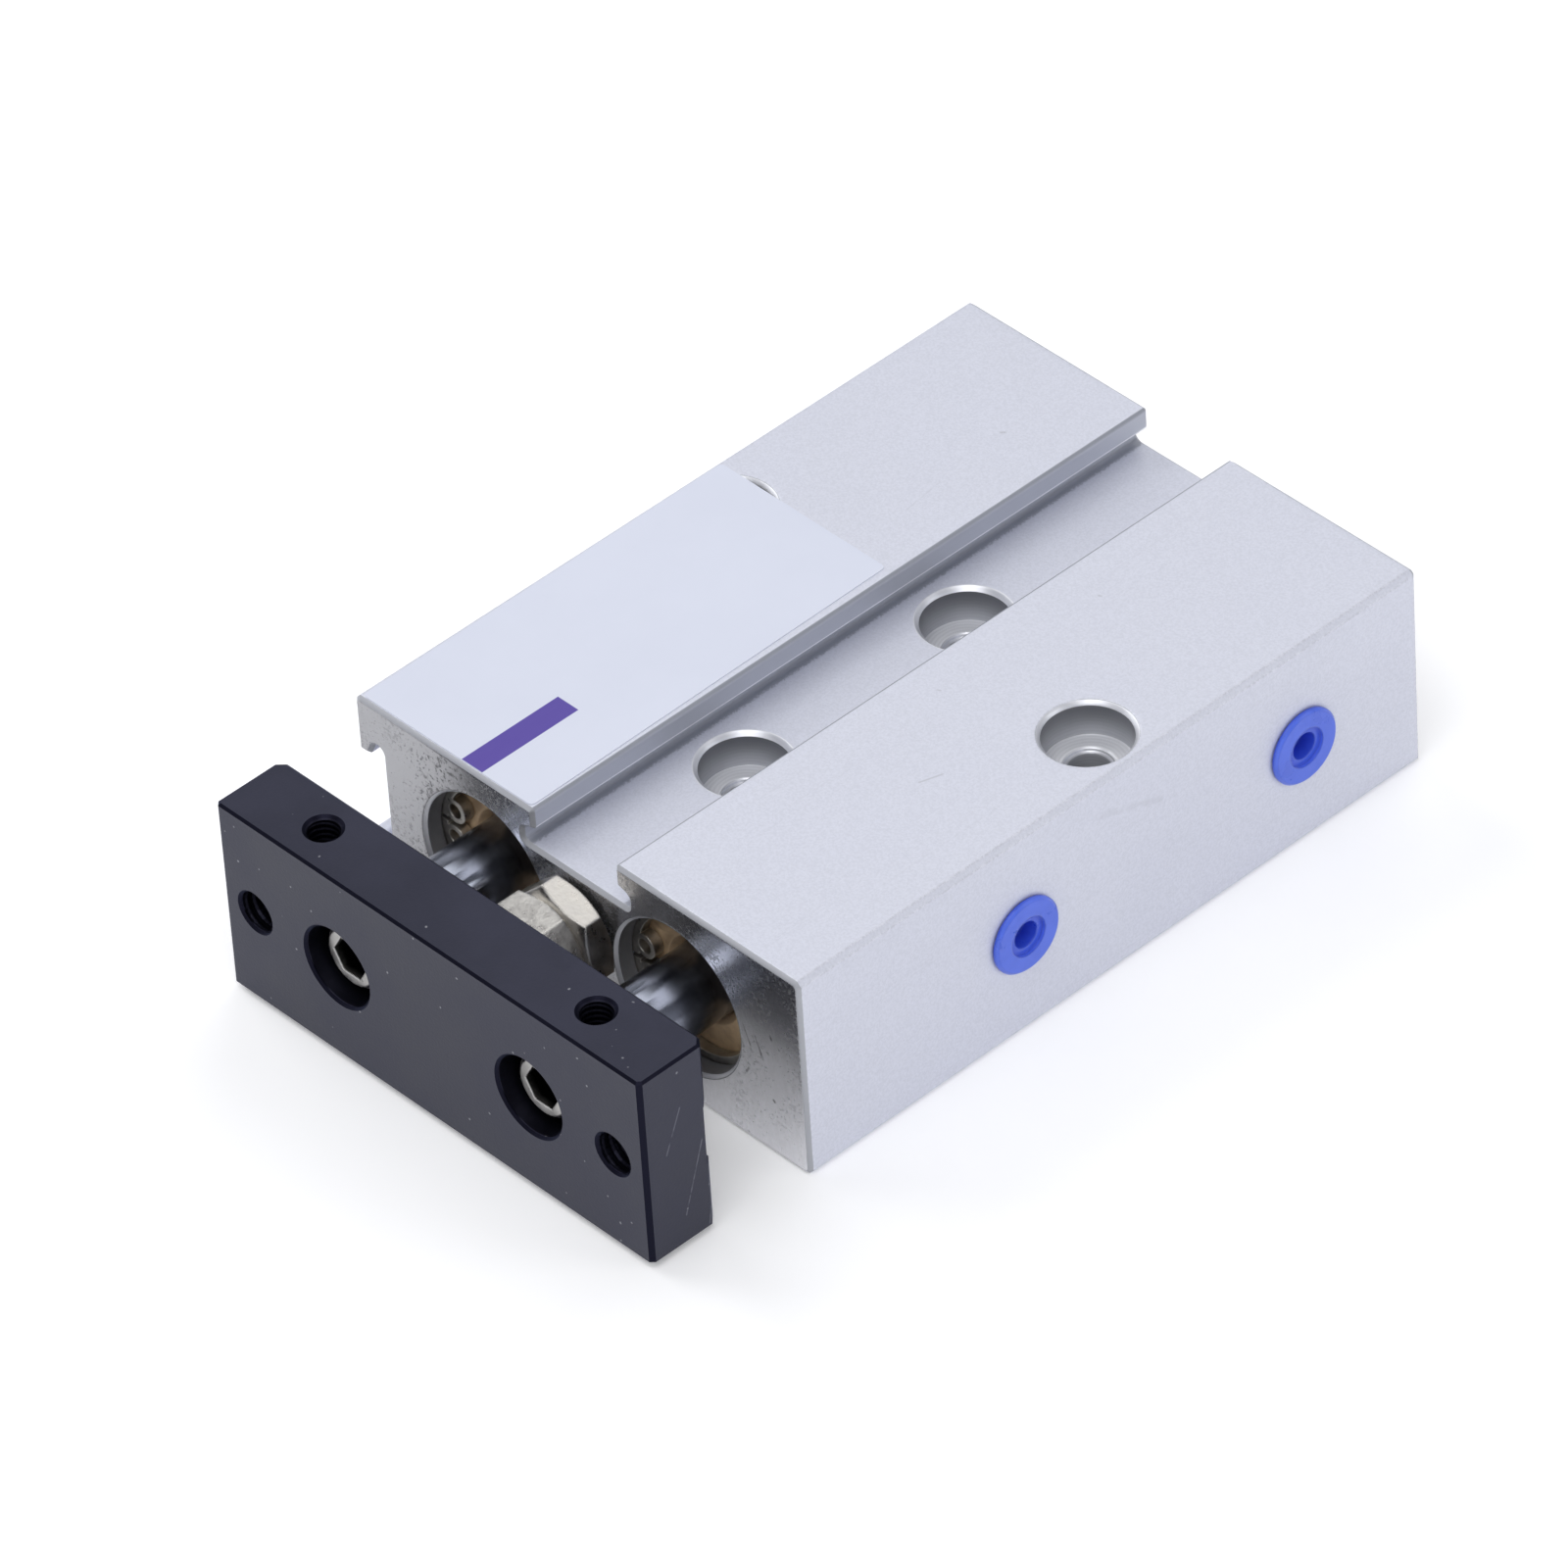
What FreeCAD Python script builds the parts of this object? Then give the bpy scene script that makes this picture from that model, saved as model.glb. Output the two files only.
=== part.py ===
import FreeCAD, Part
import math
import os
import re
import Sketcher

# Twin rod pneumatic cylinder, 10 mm bore and 10 mm stroke, drawn with its rods drawn in.
# X runs across the barrel towards the air ports, Y from the end plate to the rear, Z up.
# The origin is the centre of the barrel's flat bottom. All sizes are millimetres.
SIZES = {
    # barrel extrusion
    "body_width": 46.0,
    "body_height": 18.0,
    "edge_bevel": 0.4,
    "end_bevel": 0.3,
    "slot_mouth": 8.5,
    "slot_width": 11.0,
    "slot_depth": 3.5,
    "slot_lip": 1.85,
    "slot_root": 2.25,
    "side_slot_mouth": 7.8,
    "side_slot_width": 10.4,
    "side_slot_depth": 2.6,
    "side_slot_lip": 1.1,
    "side_slot_root": 1.7,
    "lip_round": 0.35,
    "slot_round": 0.5,
    # bores, their retaining rings and the stack of pieces along each of them
    "rod_pitch": 20.0,
    "bore_radius": 5.0,
    "gland_radius": 6.3,
    "rear_radius": 6.0,
    "mouth_bevel": 0.25,
    "clip_depth": 1.6,
    "clip_thickness": 0.9,
    "clip_band": 0.9,
    "clip_groove_depth": 0.35,
    "clip_lug_radius": 1.05,
    "clip_lug_angle": 14.5,
    "clip_eye_radius": 0.62,
    "left_clip_turn": 175.0,
    "right_clip_turn": 186.0,
    "bush_length": 17.0,
    "bumper_length": 3.0,
    "stroke": 10.0,
    "piston_length": 12.4,
    "piston_nut_height": 2.2,
    "rod_tip": 0.4,
    "end_gap": 0.3,
    "rear_bumper_length": 2.9,
    "cap_length": 7.8,
    # clearances
    "running_clearance": 0.04,
    "piston_clearance": 0.06,
    "seat_clearance": 0.02,
    "thread_clearance": 0.05,
    "seal_clearance": 0.05,
    # air ports and their plugs
    "port_radius": 2.1,
    "port_depth": 5.0,
    "port_bevel": 0.3,
    "port_inset": 1.9,
    "rear_port_inset": 1.6,
    "passage_radius": 1.25,
    "plug_flange_radius": 3.13,
    "plug_flange": 0.5,
    "plug_foot_radius": 2.65,
    "plug_foot": 0.1,
    "plug_bevel": 0.2,
    "plug_stem": 4.0,
    "plug_recess_radius": 1.65,
    "plug_recess": 0.3,
    "plug_eye_radius": 1.1,
    "plug_eye": 1.6,
    # mounting holes through the barrel
    "hole_radius": 1.65,
    "counterbore_radius": 3.4,
    "counterbore_depth": 3.0,
    "hole_bevel": 0.34,
    "thread_bevel": 0.35,
    "channel_hole_inset": 16.5,
    "channel_hole_spacing": 22.0,
    "flange_hole_inset": 32.75,
    "flange_hole_spacing": 37.0,
    # piston rods and pistons
    "rod_radius": 3.0,
    "rod_bevel": 0.3,
    "rod_thread_depth": 9.0,
    "rod_flats": 5.0,
    "rod_flat_length": 2.2,
    "spigot_radius": 2.0,
    "land_length": 1.4,
    "piston_seal_width": 2.4,
    "piston_seal_groove": 1.6,
    "magnet_width": 3.2,
    "magnet_groove": 1.6,
    "bumper_radius": 4.0,
    "piston_nut_flats": 7.0,
    # bushes, rear caps and their seals
    "bush_mouth": 0.6,
    "seal_section": 1.0,
    "seal_inset": 4.0,
    "rod_seal_radius": 4.6,
    "rod_seal_inset": 10.0,
    "rod_seal_length": 2.5,
    "rear_bumper_radius": 3.0,
    "rear_bumper_stem_radius": 1.2,
    "rear_bumper_stem": 3.0,
    "cap_tool_radius": 1.5,
    "cap_tool_depth": 2.0,
    # end plate
    "plate_gap": 7.9,
    "plate_width": 44.0,
    "plate_height": 17.0,
    "plate_thickness": 6.4,
    "plate_corner": 0.35,
    "plate_back_corner": 0.65,
    "plate_bevel": 0.2,
    "key_height": 5.4,
    "key_depth": 0.7,
    "plate_counterbore_radius": 3.3,
    "plate_counterbore_depth": 4.3,
    "plate_counterbore_bevel": 0.2,
    "screw_hole_radius": 1.6,
    "front_tap_radius": 1.65,
    "front_tap_spacing": 37.3,
    "front_tap_bevel": 0.2,
    "top_tap_radius": 1.25,
    "top_tap_depth": 5.5,
    "top_tap_spacing": 28.3,
    "top_tap_inset": 3.35,
    "top_tap_bevel": 0.3,
    # screws that hold the plate to the rods
    "screw_radius": 1.5,
    "screw_length": 7.5,
    "screw_head_radius": 2.6,
    "screw_head": 3.0,
    "screw_head_bevel": 0.35,
    "screw_socket_flats": 3.0,
    "screw_socket_depth": 1.8,
    # stroke stop between the rods
    "stopper_height": 10.0,
    "stopper_flats": 8.0,
    "stopper_head": 2.6,
    "stopper_radius": 2.5,
    "stopper_thread": 4.6,
    "stopper_turn": 17.0,
    "lock_nut_height": 5.0,
    "lock_nut_turn": 1.0,
    "hex_crown": 0.91,
}

# Places worked out from the sizes. Depths run back from the barrel's front face.
GROOVE = "(clip_thickness + 2 * seal_clearance)"
BUSH_FRONT = f"(clip_depth + {GROOVE})"
BUSH_REAR = f"({BUSH_FRONT} + bush_length)"
PISTON_FRONT = f"({BUSH_REAR} + end_gap + bumper_length + stroke)"
PISTON_REAR = f"({PISTON_FRONT} + piston_length)"
ROD_END = f"({PISTON_REAR} + piston_nut_height + rod_tip)"
CAP_FRONT = f"({ROD_END} + end_gap + rear_bumper_length)"
CAP_REAR = f"({CAP_FRONT} + cap_length)"
BODY_LENGTH = f"({CAP_REAR} + {GROOVE} + clip_depth)"
FRONT = f"(-{BODY_LENGTH} / 2)"
PLATE_BACK = f"({FRONT} - plate_gap)"
PLATE_FRONT = f"({PLATE_BACK} - plate_thickness)"
ROD_FRONT = f"({PLATE_BACK} - key_depth)"
MID = "(body_height / 2)"
RIM_SLACK = 0.01
SIDES = {"left": "-", "right": ""}

doc = FreeCAD.newDocument("TwinRodCylinder")
sheet = doc.addObject("Spreadsheet::Sheet", "Sizes")
for row, (name, size) in enumerate(SIZES.items(), start=1):
    sheet.set(f"A{row}", name)
    sheet.set(f"B{row}", str(size))
    sheet.setAlias(f"B{row}", name)
doc.recompute()
parts = []


def bound(text):
    """The expression with every size name pointed at its cell of the sheet."""
    return re.sub(r"[a-z_]+", lambda word: f"Sizes.{word[0]}" if word[0] in SIZES else word[0], text)


def new_part(label, x="0", y="0", z="0", turn="0"):
    """An empty sub-part at a place given as size expressions, turned about its own Y axis."""
    body = doc.addObject("PartDesign::Body", label)
    body.Label = label
    body.Placement.Rotation = FreeCAD.Rotation(FreeCAD.Vector(0, 1, 0), 1)
    for path, text in (("Base.x", x), ("Base.y", y), ("Base.z", z), ("Rotation.Angle", turn)):
        body.setExpression(f"Placement.{path}", bound(text))
    parts.append(body)
    return body


def sketch_on(body, name, plane, at=("0", "0", "0")):
    """A sketch on one of the sub-part's own planes, shifted by size expressions in that plane's axes."""
    sketch = body.newObject("Sketcher::SketchObject", name)
    sketch.AttachmentSupport = [(next(p for p in body.Origin.OriginFeatures if p.Role == plane), "")]
    sketch.MapMode = "FlatFace"
    for axis, text in zip("xyz", at):
        sketch.setExpression(f"AttachmentOffset.Base.{axis}", bound(text))
    return sketch


def hold(sketch, kind, *where, start, text):
    """A driving dimension of a sketch, bound to its size expression."""
    number = sketch.addConstraint(Sketcher.Constraint(kind, *where, start))
    sketch.setExpression(f"Constraints[{number}]", bound(text))


def outline(sketch, corners):
    """A closed straight-sided outline through corners given as pairs of size expressions."""
    first = sketch.GeometryCount
    turns = [2 * math.pi * n / len(corners) for n in range(len(corners))]
    start = [FreeCAD.Vector(math.cos(turn), math.sin(turn), 0) for turn in turns]
    for n, point in enumerate(start):
        sketch.addGeometry(Part.LineSegment(point, start[(n + 1) % len(start)]), False)
    for n, point in enumerate(start):
        after = first + (n + 1) % len(start)
        sketch.addConstraint(Sketcher.Constraint("Coincident", first + n, 2, after, 1))
        hold(sketch, "DistanceX", -1, 1, first + n, 1, start=point.x, text=corners[n][0])
        hold(sketch, "DistanceY", -1, 1, first + n, 1, start=point.y, text=corners[n][1])


def circle(sketch, across, along, radius):
    """A full circle whose centre and radius are size expressions."""
    ring = sketch.addGeometry(Part.Circle(FreeCAD.Vector(1, 1, 0), FreeCAD.Vector(0, 0, 1), 1), False)
    hold(sketch, "DistanceX", -1, 1, ring, 3, start=1.0, text=across)
    hold(sketch, "DistanceY", -1, 1, ring, 3, start=1.0, text=along)
    hold(sketch, "Radius", ring, start=1.0, text=radius)


def extruded(body, kind, sketch, length):
    """A pad along the sketch's normal, or a pocket against it."""
    feature = body.newObject(f"PartDesign::{kind}", f"{kind}_{sketch.Name}")
    feature.Profile = sketch
    feature.setExpression("Length", bound(length))
    return feature


def turned(body, name, corners, axis="Y", at=("0", "0", "0"), cut=False):
    """A turned solid or bore. Corners are pairs of radius and place along the axis through the point at."""
    x, y, z = at
    plane, shift = ("XZ_Plane", (x, z, f"-({y})")) if axis == "Z" else ("XY_Plane", (x, y, z))
    sketch = sketch_on(body, name, plane, shift)
    outline(sketch, [(place, radius) for radius, place in corners] if axis == "X" else corners)
    feature = body.newObject("PartDesign::Groove" if cut else "PartDesign::Revolution", f"Turned_{name}")
    feature.Profile = sketch
    feature.ReferenceAxis = (sketch, ["H_Axis" if axis == "X" else "V_Axis"])
    feature.Angle = 360
    return feature


def hexagon(body, name, flats, place):
    """A sketch of a hexagon about the Y axis, one flat upwards, at a place along that axis."""
    sketch = sketch_on(body, name, "XZ_Plane", ("0", "0", f"-({place})"))
    point = f"{flats} / sqrt(3)"
    outline(sketch, [(f"{point} * {across}", f"{flats} / 2 * {up}") for across, up in
                     ((1, 0), (0.5, 1), (-0.5, 1), (-1, 0), (-0.5, -1), (0.5, -1))])
    return sketch


def crown(body, name, flats, face, inward):
    """The round crown on a hexagon's end face: its corners are turned down at 30 degrees."""
    rim = f"{flats} / 2 * hex_crown"
    drop = f"({flats} - {rim}) / sqrt(3)"
    turned(body, name, [(rim, face), (flats, face), (flats, f"{face} {inward} {drop}")], cut=True)


def faces_where(feature, test):
    """The names of a feature's faces that pass a test."""
    doc.recompute()
    return [f"Face{n}" for n, face in enumerate(feature.Shape.Faces, start=1) if test(face)]


def edges_where(feature, test):
    """The names of a feature's edges that pass a test against the feature's box."""
    doc.recompute()
    box = feature.Shape.BoundBox
    return [f"Edge{n}" for n, edge in enumerate(feature.Shape.Edges, start=1) if test(edge, box)]


def on_outer_rim(edge, box):
    """True for an edge of an end face that lies on the outside of the extrusion, not in a slot."""
    near = sheet.edge_bevel / 2 + RIM_SLACK
    middle = edge.CenterOfMass
    across = min(middle.x - box.XMin, box.XMax - middle.x, middle.z - box.ZMin, box.ZMax - middle.z)
    return edge.BoundBox.YLength < RIM_SLACK and across < near


def along_slot(half_top, half_side):
    """A test for the long edges of both T-slots that lie the given distances from their middles."""
    def test(edge, box):
        middle = edge.CenterOfMass
        across, up = abs(middle.x), abs(middle.z - box.Center.z)
        top = abs(across - half_top) < RIM_SLACK and box.ZMax - middle.z < sheet.slot_depth + RIM_SLACK
        side = abs(up - half_side) < RIM_SLACK and middle.x - box.XMin < sheet.side_slot_depth + RIM_SLACK
        return edge.BoundBox.YLength > RIM_SLACK and (top or side)
    return test


def bevelled(body, base, names, size):
    """A chamfer on the named faces or edges of the feature before it."""
    feature = body.newObject("PartDesign::Chamfer", f"Bevel_{base.Name}")
    feature.Base = (base, names)
    feature.setExpression("Size", bound(size))
    return feature


def rounded(body, base, names, radius):
    """A fillet on the named edges of the feature before it."""
    feature = body.newObject("PartDesign::Fillet", f"Round_{base.Name}")
    feature.Base = (base, names)
    feature.setExpression("Radius", bound(radius))
    return feature


def make_barrel():
    """The extrusion: outline with both T-slots, stepped rod bores, mounting holes and air ports."""
    body = new_part("barrel_body")
    wide, top = "body_width / 2", "body_height"
    sketch = sketch_on(body, "barrel_outline", "XZ_Plane", ("0", "0", FRONT))
    right_lip = [("slot_mouth / 2", top), ("slot_mouth / 2", f"{top} - slot_lip"),
                 ("slot_width / 2", f"{top} - slot_root"), ("slot_width / 2", f"{top} - slot_depth")]
    left_lip = [(f"-{x}", z) for x, z in reversed(right_lip)]
    upper_lip = [(f"-{wide}", f"{MID} + side_slot_mouth / 2"),
                 (f"-{wide} + side_slot_lip", f"{MID} + side_slot_mouth / 2"),
                 (f"-{wide} + side_slot_root", f"{MID} + side_slot_width / 2"),
                 (f"-{wide} + side_slot_depth", f"{MID} + side_slot_width / 2")]
    lower_lip = [(x, z.replace("+", "-")) for x, z in reversed(upper_lip)]
    outline(sketch, [(f"{wide} - edge_bevel", "0"), (wide, "edge_bevel"),
                     (wide, f"{top} - edge_bevel"), (f"{wide} - edge_bevel", top), *right_lip, *left_lip,
                     (f"-{wide} + edge_bevel", top), (f"-{wide}", f"{top} - edge_bevel"), *upper_lip,
                     *lower_lip, (f"-{wide}", "edge_bevel"), (f"-{wide} + edge_bevel", "0")])
    block = extruded(body, "Pad", sketch, BODY_LENGTH)
    corners = along_slot(sheet.slot_width / 2, sheet.side_slot_width / 2)
    slots = rounded(body, block, edges_where(block, corners), "slot_round")
    mouths = along_slot(sheet.slot_mouth / 2, sheet.side_slot_mouth / 2)
    lips = rounded(body, slots, edges_where(slots, mouths), "lip_round")
    bevelled(body, lips, edges_where(lips, on_outer_rim), "end_bevel")
    groove_front, groove_rear = "gland_radius + clip_groove_depth", "rear_radius + clip_groove_depth"
    rear_groove = f"{CAP_REAR} + {GROOVE}"
    for side, sign in SIDES.items():
        turned(body, f"{side}_bore", [
            ("0", "0"), ("gland_radius + mouth_bevel", "0"), ("gland_radius", "mouth_bevel"),
            ("gland_radius", "clip_depth"), (groove_front, "clip_depth"), (groove_front, BUSH_FRONT),
            ("gland_radius", BUSH_FRONT), ("gland_radius", BUSH_REAR), ("bore_radius", BUSH_REAR),
            ("bore_radius", CAP_FRONT), ("rear_radius", CAP_FRONT), ("rear_radius", CAP_REAR),
            (groove_rear, CAP_REAR), (groove_rear, rear_groove), ("rear_radius", rear_groove),
            ("rear_radius", f"{BODY_LENGTH} - mouth_bevel"),
            ("rear_radius + mouth_bevel", BODY_LENGTH), ("0", BODY_LENGTH),
        ], at=(f"{sign}rod_pitch / 2", FRONT, MID), cut=True)
    for name, place in (("front_port", f"{BUSH_REAR} + port_inset"),
                        ("rear_port", f"{CAP_FRONT} - rear_port_inset")):
        turned(body, name, [
            ("0", "0"), ("port_radius + port_bevel", "0"), ("port_radius", "-port_bevel"),
            ("port_radius", "-port_depth"), ("passage_radius", "-port_depth + passage_radius - port_radius"),
            ("passage_radius", "-body_width / 2 - rod_pitch / 2"), ("0", "-body_width / 2 - rod_pitch / 2"),
        ], axis="X", at=(wide, f"{FRONT} + {place}", MID), cut=True)
    floor = f"{top} - slot_depth"
    for name, x, inset, level in (
            ("front_channel_hole", "0", "channel_hole_inset", floor),
            ("rear_channel_hole", "0", "channel_hole_inset + channel_hole_spacing", floor),
            ("left_flange_hole", "-flange_hole_spacing / 2", "flange_hole_inset", top),
            ("right_flange_hole", "flange_hole_spacing / 2", "flange_hole_inset", top)):
        step = f"{level} - counterbore_depth"
        turned(body, name, [
            ("0", "0"), ("hole_radius + thread_bevel", "0"), ("hole_radius", "thread_bevel"),
            ("hole_radius", f"{step} - thread_bevel"), ("hole_radius + thread_bevel", step),
            ("counterbore_radius", step), ("counterbore_radius", f"{level} - hole_bevel"),
            ("counterbore_radius + hole_bevel", level), ("0", level),
        ], axis="Z", at=(x, f"{FRONT} + {inset}", "0"), cut=True)


def make_circlip(side, sign, end, radius, place):
    """A retaining ring in its groove: an open band with two eyed lugs at the gap."""
    body = new_part(f"{side}_{end}_circlip", f"{sign}rod_pitch / 2", f"{FRONT} + {place}", MID,
                    f"-{side}_clip_turn")
    outer = f"({radius} + clip_groove_depth - seal_clearance)"
    inner = f"({outer} - clip_band)"
    eye = f"({outer} - clip_band / 2 - clip_lug_radius)"
    lugs = [(f"{eye} * cos(clip_lug_angle)", f"{eye} * {up}sin(clip_lug_angle)") for up in ("", "-")]
    band = sketch_on(body, f"{side}_{end}_band", "XZ_Plane")
    circle(band, "0", "0", outer)
    circle(band, "0", "0", inner)
    extruded(body, "Pad", band, "clip_thickness").Reversed = True
    for number, (across, up) in enumerate(lugs):
        lug = sketch_on(body, f"{side}_{end}_lug_{number}", "XZ_Plane")
        circle(lug, across, up, "clip_lug_radius")
        extruded(body, "Pad", lug, "clip_thickness").Reversed = True
    eyes = sketch_on(body, f"{side}_{end}_eyes", "XZ_Plane")
    for across, up in lugs:
        circle(eyes, across, up, "clip_eye_radius")
    extruded(body, "Pocket", eyes, "clip_thickness")
    gap = sketch_on(body, f"{side}_{end}_gap", "XZ_Plane")
    half = f"({eye} * sin(clip_lug_angle) - clip_lug_radius)"
    outline(gap, [(f"{eye} - clip_lug_radius", f"-{half}"), (f"{outer} * 2", f"-{half}"),
                  (f"{outer} * 2", half), (f"{eye} - clip_lug_radius", half)])
    extruded(body, "Pocket", gap, "clip_thickness")


def make_ring(label, sign, depth, inner, outer, length):
    """A plain ring round a rod axis."""
    body = new_part(label, f"{sign}rod_pitch / 2", f"{FRONT} + {depth}", MID)
    turned(body, f"{label}_section", [(inner, "0"), (outer, "0"), (outer, length), (inner, length)])


def make_o_ring(label, sign, depth, bore):
    """A seal ring squeezed between its groove and the bore of the given radius, flat where it bears."""
    body = new_part(label, f"{sign}rod_pitch / 2", f"{FRONT} + {depth}", MID)
    outer = f"{bore} - seal_clearance"
    inner = f"{outer} - seal_section"
    half, flat = "seal_section / 2", "seal_section / 5"
    high, low = f"{outer} - {half} + {flat}", f"{inner} + {half} - {flat}"
    turned(body, f"{label}_section", [
        (low, f"-{half}"), (high, f"-{half}"), (outer, f"-{flat}"), (outer, flat),
        (high, half), (low, half), (inner, flat), (inner, f"-{flat}")])


def seal_groove(radius, bore, place):
    """Corners of an O-ring groove in a turned profile of the given radius."""
    floor = f"{bore} - seal_section - 2 * seal_clearance"
    half = "(seal_section / 2 + seal_clearance)"
    return [(radius, f"{place} - {half}"), (floor, f"{place} - {half}"),
            (floor, f"{place} + {half}"), (radius, f"{place} + {half}")]


def make_bush(side, sign):
    """The brass rod guide with its seal grooves, the rod seal and the ring round the guide."""
    body = new_part(f"{side}_rod_bush", f"{sign}rod_pitch / 2", f"{FRONT} + {BUSH_FRONT}", MID)
    inner, outer = "rod_radius + running_clearance", "gland_radius - seat_clearance"
    turned(body, f"{side}_bush", [
        (f"{inner} + bush_mouth", "0"), (f"{outer} - rod_bevel", "0"), (outer, "rod_bevel"),
        *seal_groove(outer, "gland_radius", "seal_inset"), (outer, "bush_length"),
        (inner, "bush_length"), (inner, "rod_seal_inset + rod_seal_length"),
        ("rod_seal_radius", "rod_seal_inset + rod_seal_length"), ("rod_seal_radius", "rod_seal_inset"),
        (inner, "rod_seal_inset"), (inner, "bush_mouth")])
    make_ring(f"{side}_rod_seal", sign, f"{BUSH_FRONT} + rod_seal_inset + seal_clearance", inner,
              "rod_seal_radius - seal_clearance", "rod_seal_length - 2 * seal_clearance")
    make_o_ring(f"{side}_bush_o_ring", sign, f"{BUSH_FRONT} + seal_inset", "gland_radius")


def make_rear_cap(side, sign):
    """The plug that closes the rear of a bore, with its ring and its rubber stop."""
    body = new_part(f"{side}_rear_cap", f"{sign}rod_pitch / 2", f"{FRONT} + {CAP_FRONT}", MID)
    outer = "rear_radius - seat_clearance"
    stem = "rear_bumper_stem_radius + seat_clearance"
    turned(body, f"{side}_cap", [
        (stem, "0"), (outer, "0"), *seal_groove(outer, "rear_radius", "seal_inset"),
        (outer, "cap_length - rod_bevel"), (f"{outer} - rod_bevel", "cap_length"),
        ("cap_tool_radius", "cap_length"), ("cap_tool_radius", "cap_length - cap_tool_depth"),
        ("0", "cap_length - cap_tool_depth - cap_tool_radius / sqrt(3)"),
        ("0", "rear_bumper_stem + end_gap"), (stem, "rear_bumper_stem + end_gap")])
    make_o_ring(f"{side}_rear_cap_o_ring", sign, f"{CAP_FRONT} + seal_inset", "rear_radius")
    bumper = new_part(f"{side}_rear_bumper", f"{sign}rod_pitch / 2", f"{FRONT} + {CAP_FRONT}", MID)
    turned(bumper, f"{side}_stop", [
        ("0", "-rear_bumper_length"), ("rear_bumper_radius - rod_bevel", "-rear_bumper_length"),
        ("rear_bumper_radius", "-rear_bumper_length + rod_bevel"), ("rear_bumper_radius", "0"),
        ("rear_bumper_stem_radius", "0"), ("rear_bumper_stem_radius", "rear_bumper_stem"),
        ("0", "rear_bumper_stem")])


def make_piston_rod(side, sign):
    """A rod with keyed flats and a tapped bore at the plate, and a spigot for the piston."""
    body = new_part(f"{side}_piston_rod", f"{sign}rod_pitch / 2", ROD_FRONT, MID)
    back = "(plate_gap + key_depth)"
    tap = "screw_radius + thread_clearance"
    turned(body, f"{side}_rod", [
        (f"{tap} + thread_bevel", "0"), ("rod_radius - rod_bevel", "0"), ("rod_radius", "rod_bevel"),
        ("rod_radius", f"{back} + {PISTON_FRONT}"), ("spigot_radius", f"{back} + {PISTON_FRONT}"),
        ("spigot_radius", f"{back} + {ROD_END} - rod_bevel"),
        ("spigot_radius - rod_bevel", f"{back} + {ROD_END}"), ("0", f"{back} + {ROD_END}"),
        ("0", f"rod_thread_depth + ({tap}) / sqrt(3)"), (tap, "rod_thread_depth"), (tap, "thread_bevel")])
    flats = sketch_on(body, f"{side}_flats", "XZ_Plane")
    for low, high in (("rod_flats / 2", "rod_radius * 2"), ("-rod_radius * 2", "-rod_flats / 2")):
        outline(flats, [("-rod_radius * 2", low), ("rod_radius * 2", low),
                        ("rod_radius * 2", high), ("-rod_radius * 2", high)])
    extruded(body, "Pocket", flats, "rod_flat_length")


def make_piston(side, sign):
    """The piston with its seal, magnet, nut and front stop."""
    outer, inner = "bore_radius - piston_clearance", "spigot_radius + seat_clearance"
    body = new_part(f"{side}_piston", f"{sign}rod_pitch / 2", f"{FRONT} + {PISTON_FRONT}", MID)
    seal_front, seal_rear = "land_length", "(land_length + piston_seal_width)"
    magnet_front = f"({seal_rear} + land_length)"
    magnet_rear = f"({magnet_front} + magnet_width)"
    turned(body, f"{side}_crown", [
        (inner, "0"), (f"{outer} - rod_bevel", "0"), (outer, "rod_bevel"), (outer, seal_front),
        (f"{outer} - piston_seal_groove", seal_front), (f"{outer} - piston_seal_groove", seal_rear),
        (outer, seal_rear), (outer, magnet_front), (f"{outer} - magnet_groove", magnet_front),
        (f"{outer} - magnet_groove", magnet_rear), (outer, magnet_rear),
        (outer, "piston_length - rod_bevel"), (f"{outer} - rod_bevel", "piston_length"),
        (inner, "piston_length")])
    make_ring(f"{side}_piston_seal", sign, f"{PISTON_FRONT} + {seal_front} + seal_clearance",
              f"{outer} - piston_seal_groove + seal_clearance", "bore_radius - running_clearance",
              "piston_seal_width - 2 * seal_clearance")
    make_ring(f"{side}_magnet_ring", sign, f"{PISTON_FRONT} + {magnet_front} + seal_clearance",
              f"{outer} - magnet_groove + seal_clearance", f"{outer} - seal_clearance",
              "magnet_width - 2 * seal_clearance")
    make_ring(f"{side}_front_bumper", sign, f"{PISTON_FRONT} - bumper_length",
              "rod_radius + seat_clearance", "bumper_radius", "bumper_length")
    nut = new_part(f"{side}_piston_nut", f"{sign}rod_pitch / 2", f"{FRONT} + {PISTON_REAR}", MID)
    extruded(nut, "Pad", hexagon(nut, f"{side}_nut_hexagon", "piston_nut_flats", "piston_nut_height"),
             "piston_nut_height")
    crown(nut, f"{side}_nut_crown", "piston_nut_flats", "piston_nut_height", "-")
    turned(nut, f"{side}_nut_bore", [("0", "0"), (inner, "0"), (inner, "piston_nut_height"),
                                     ("0", "piston_nut_height")], cut=True)


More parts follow.
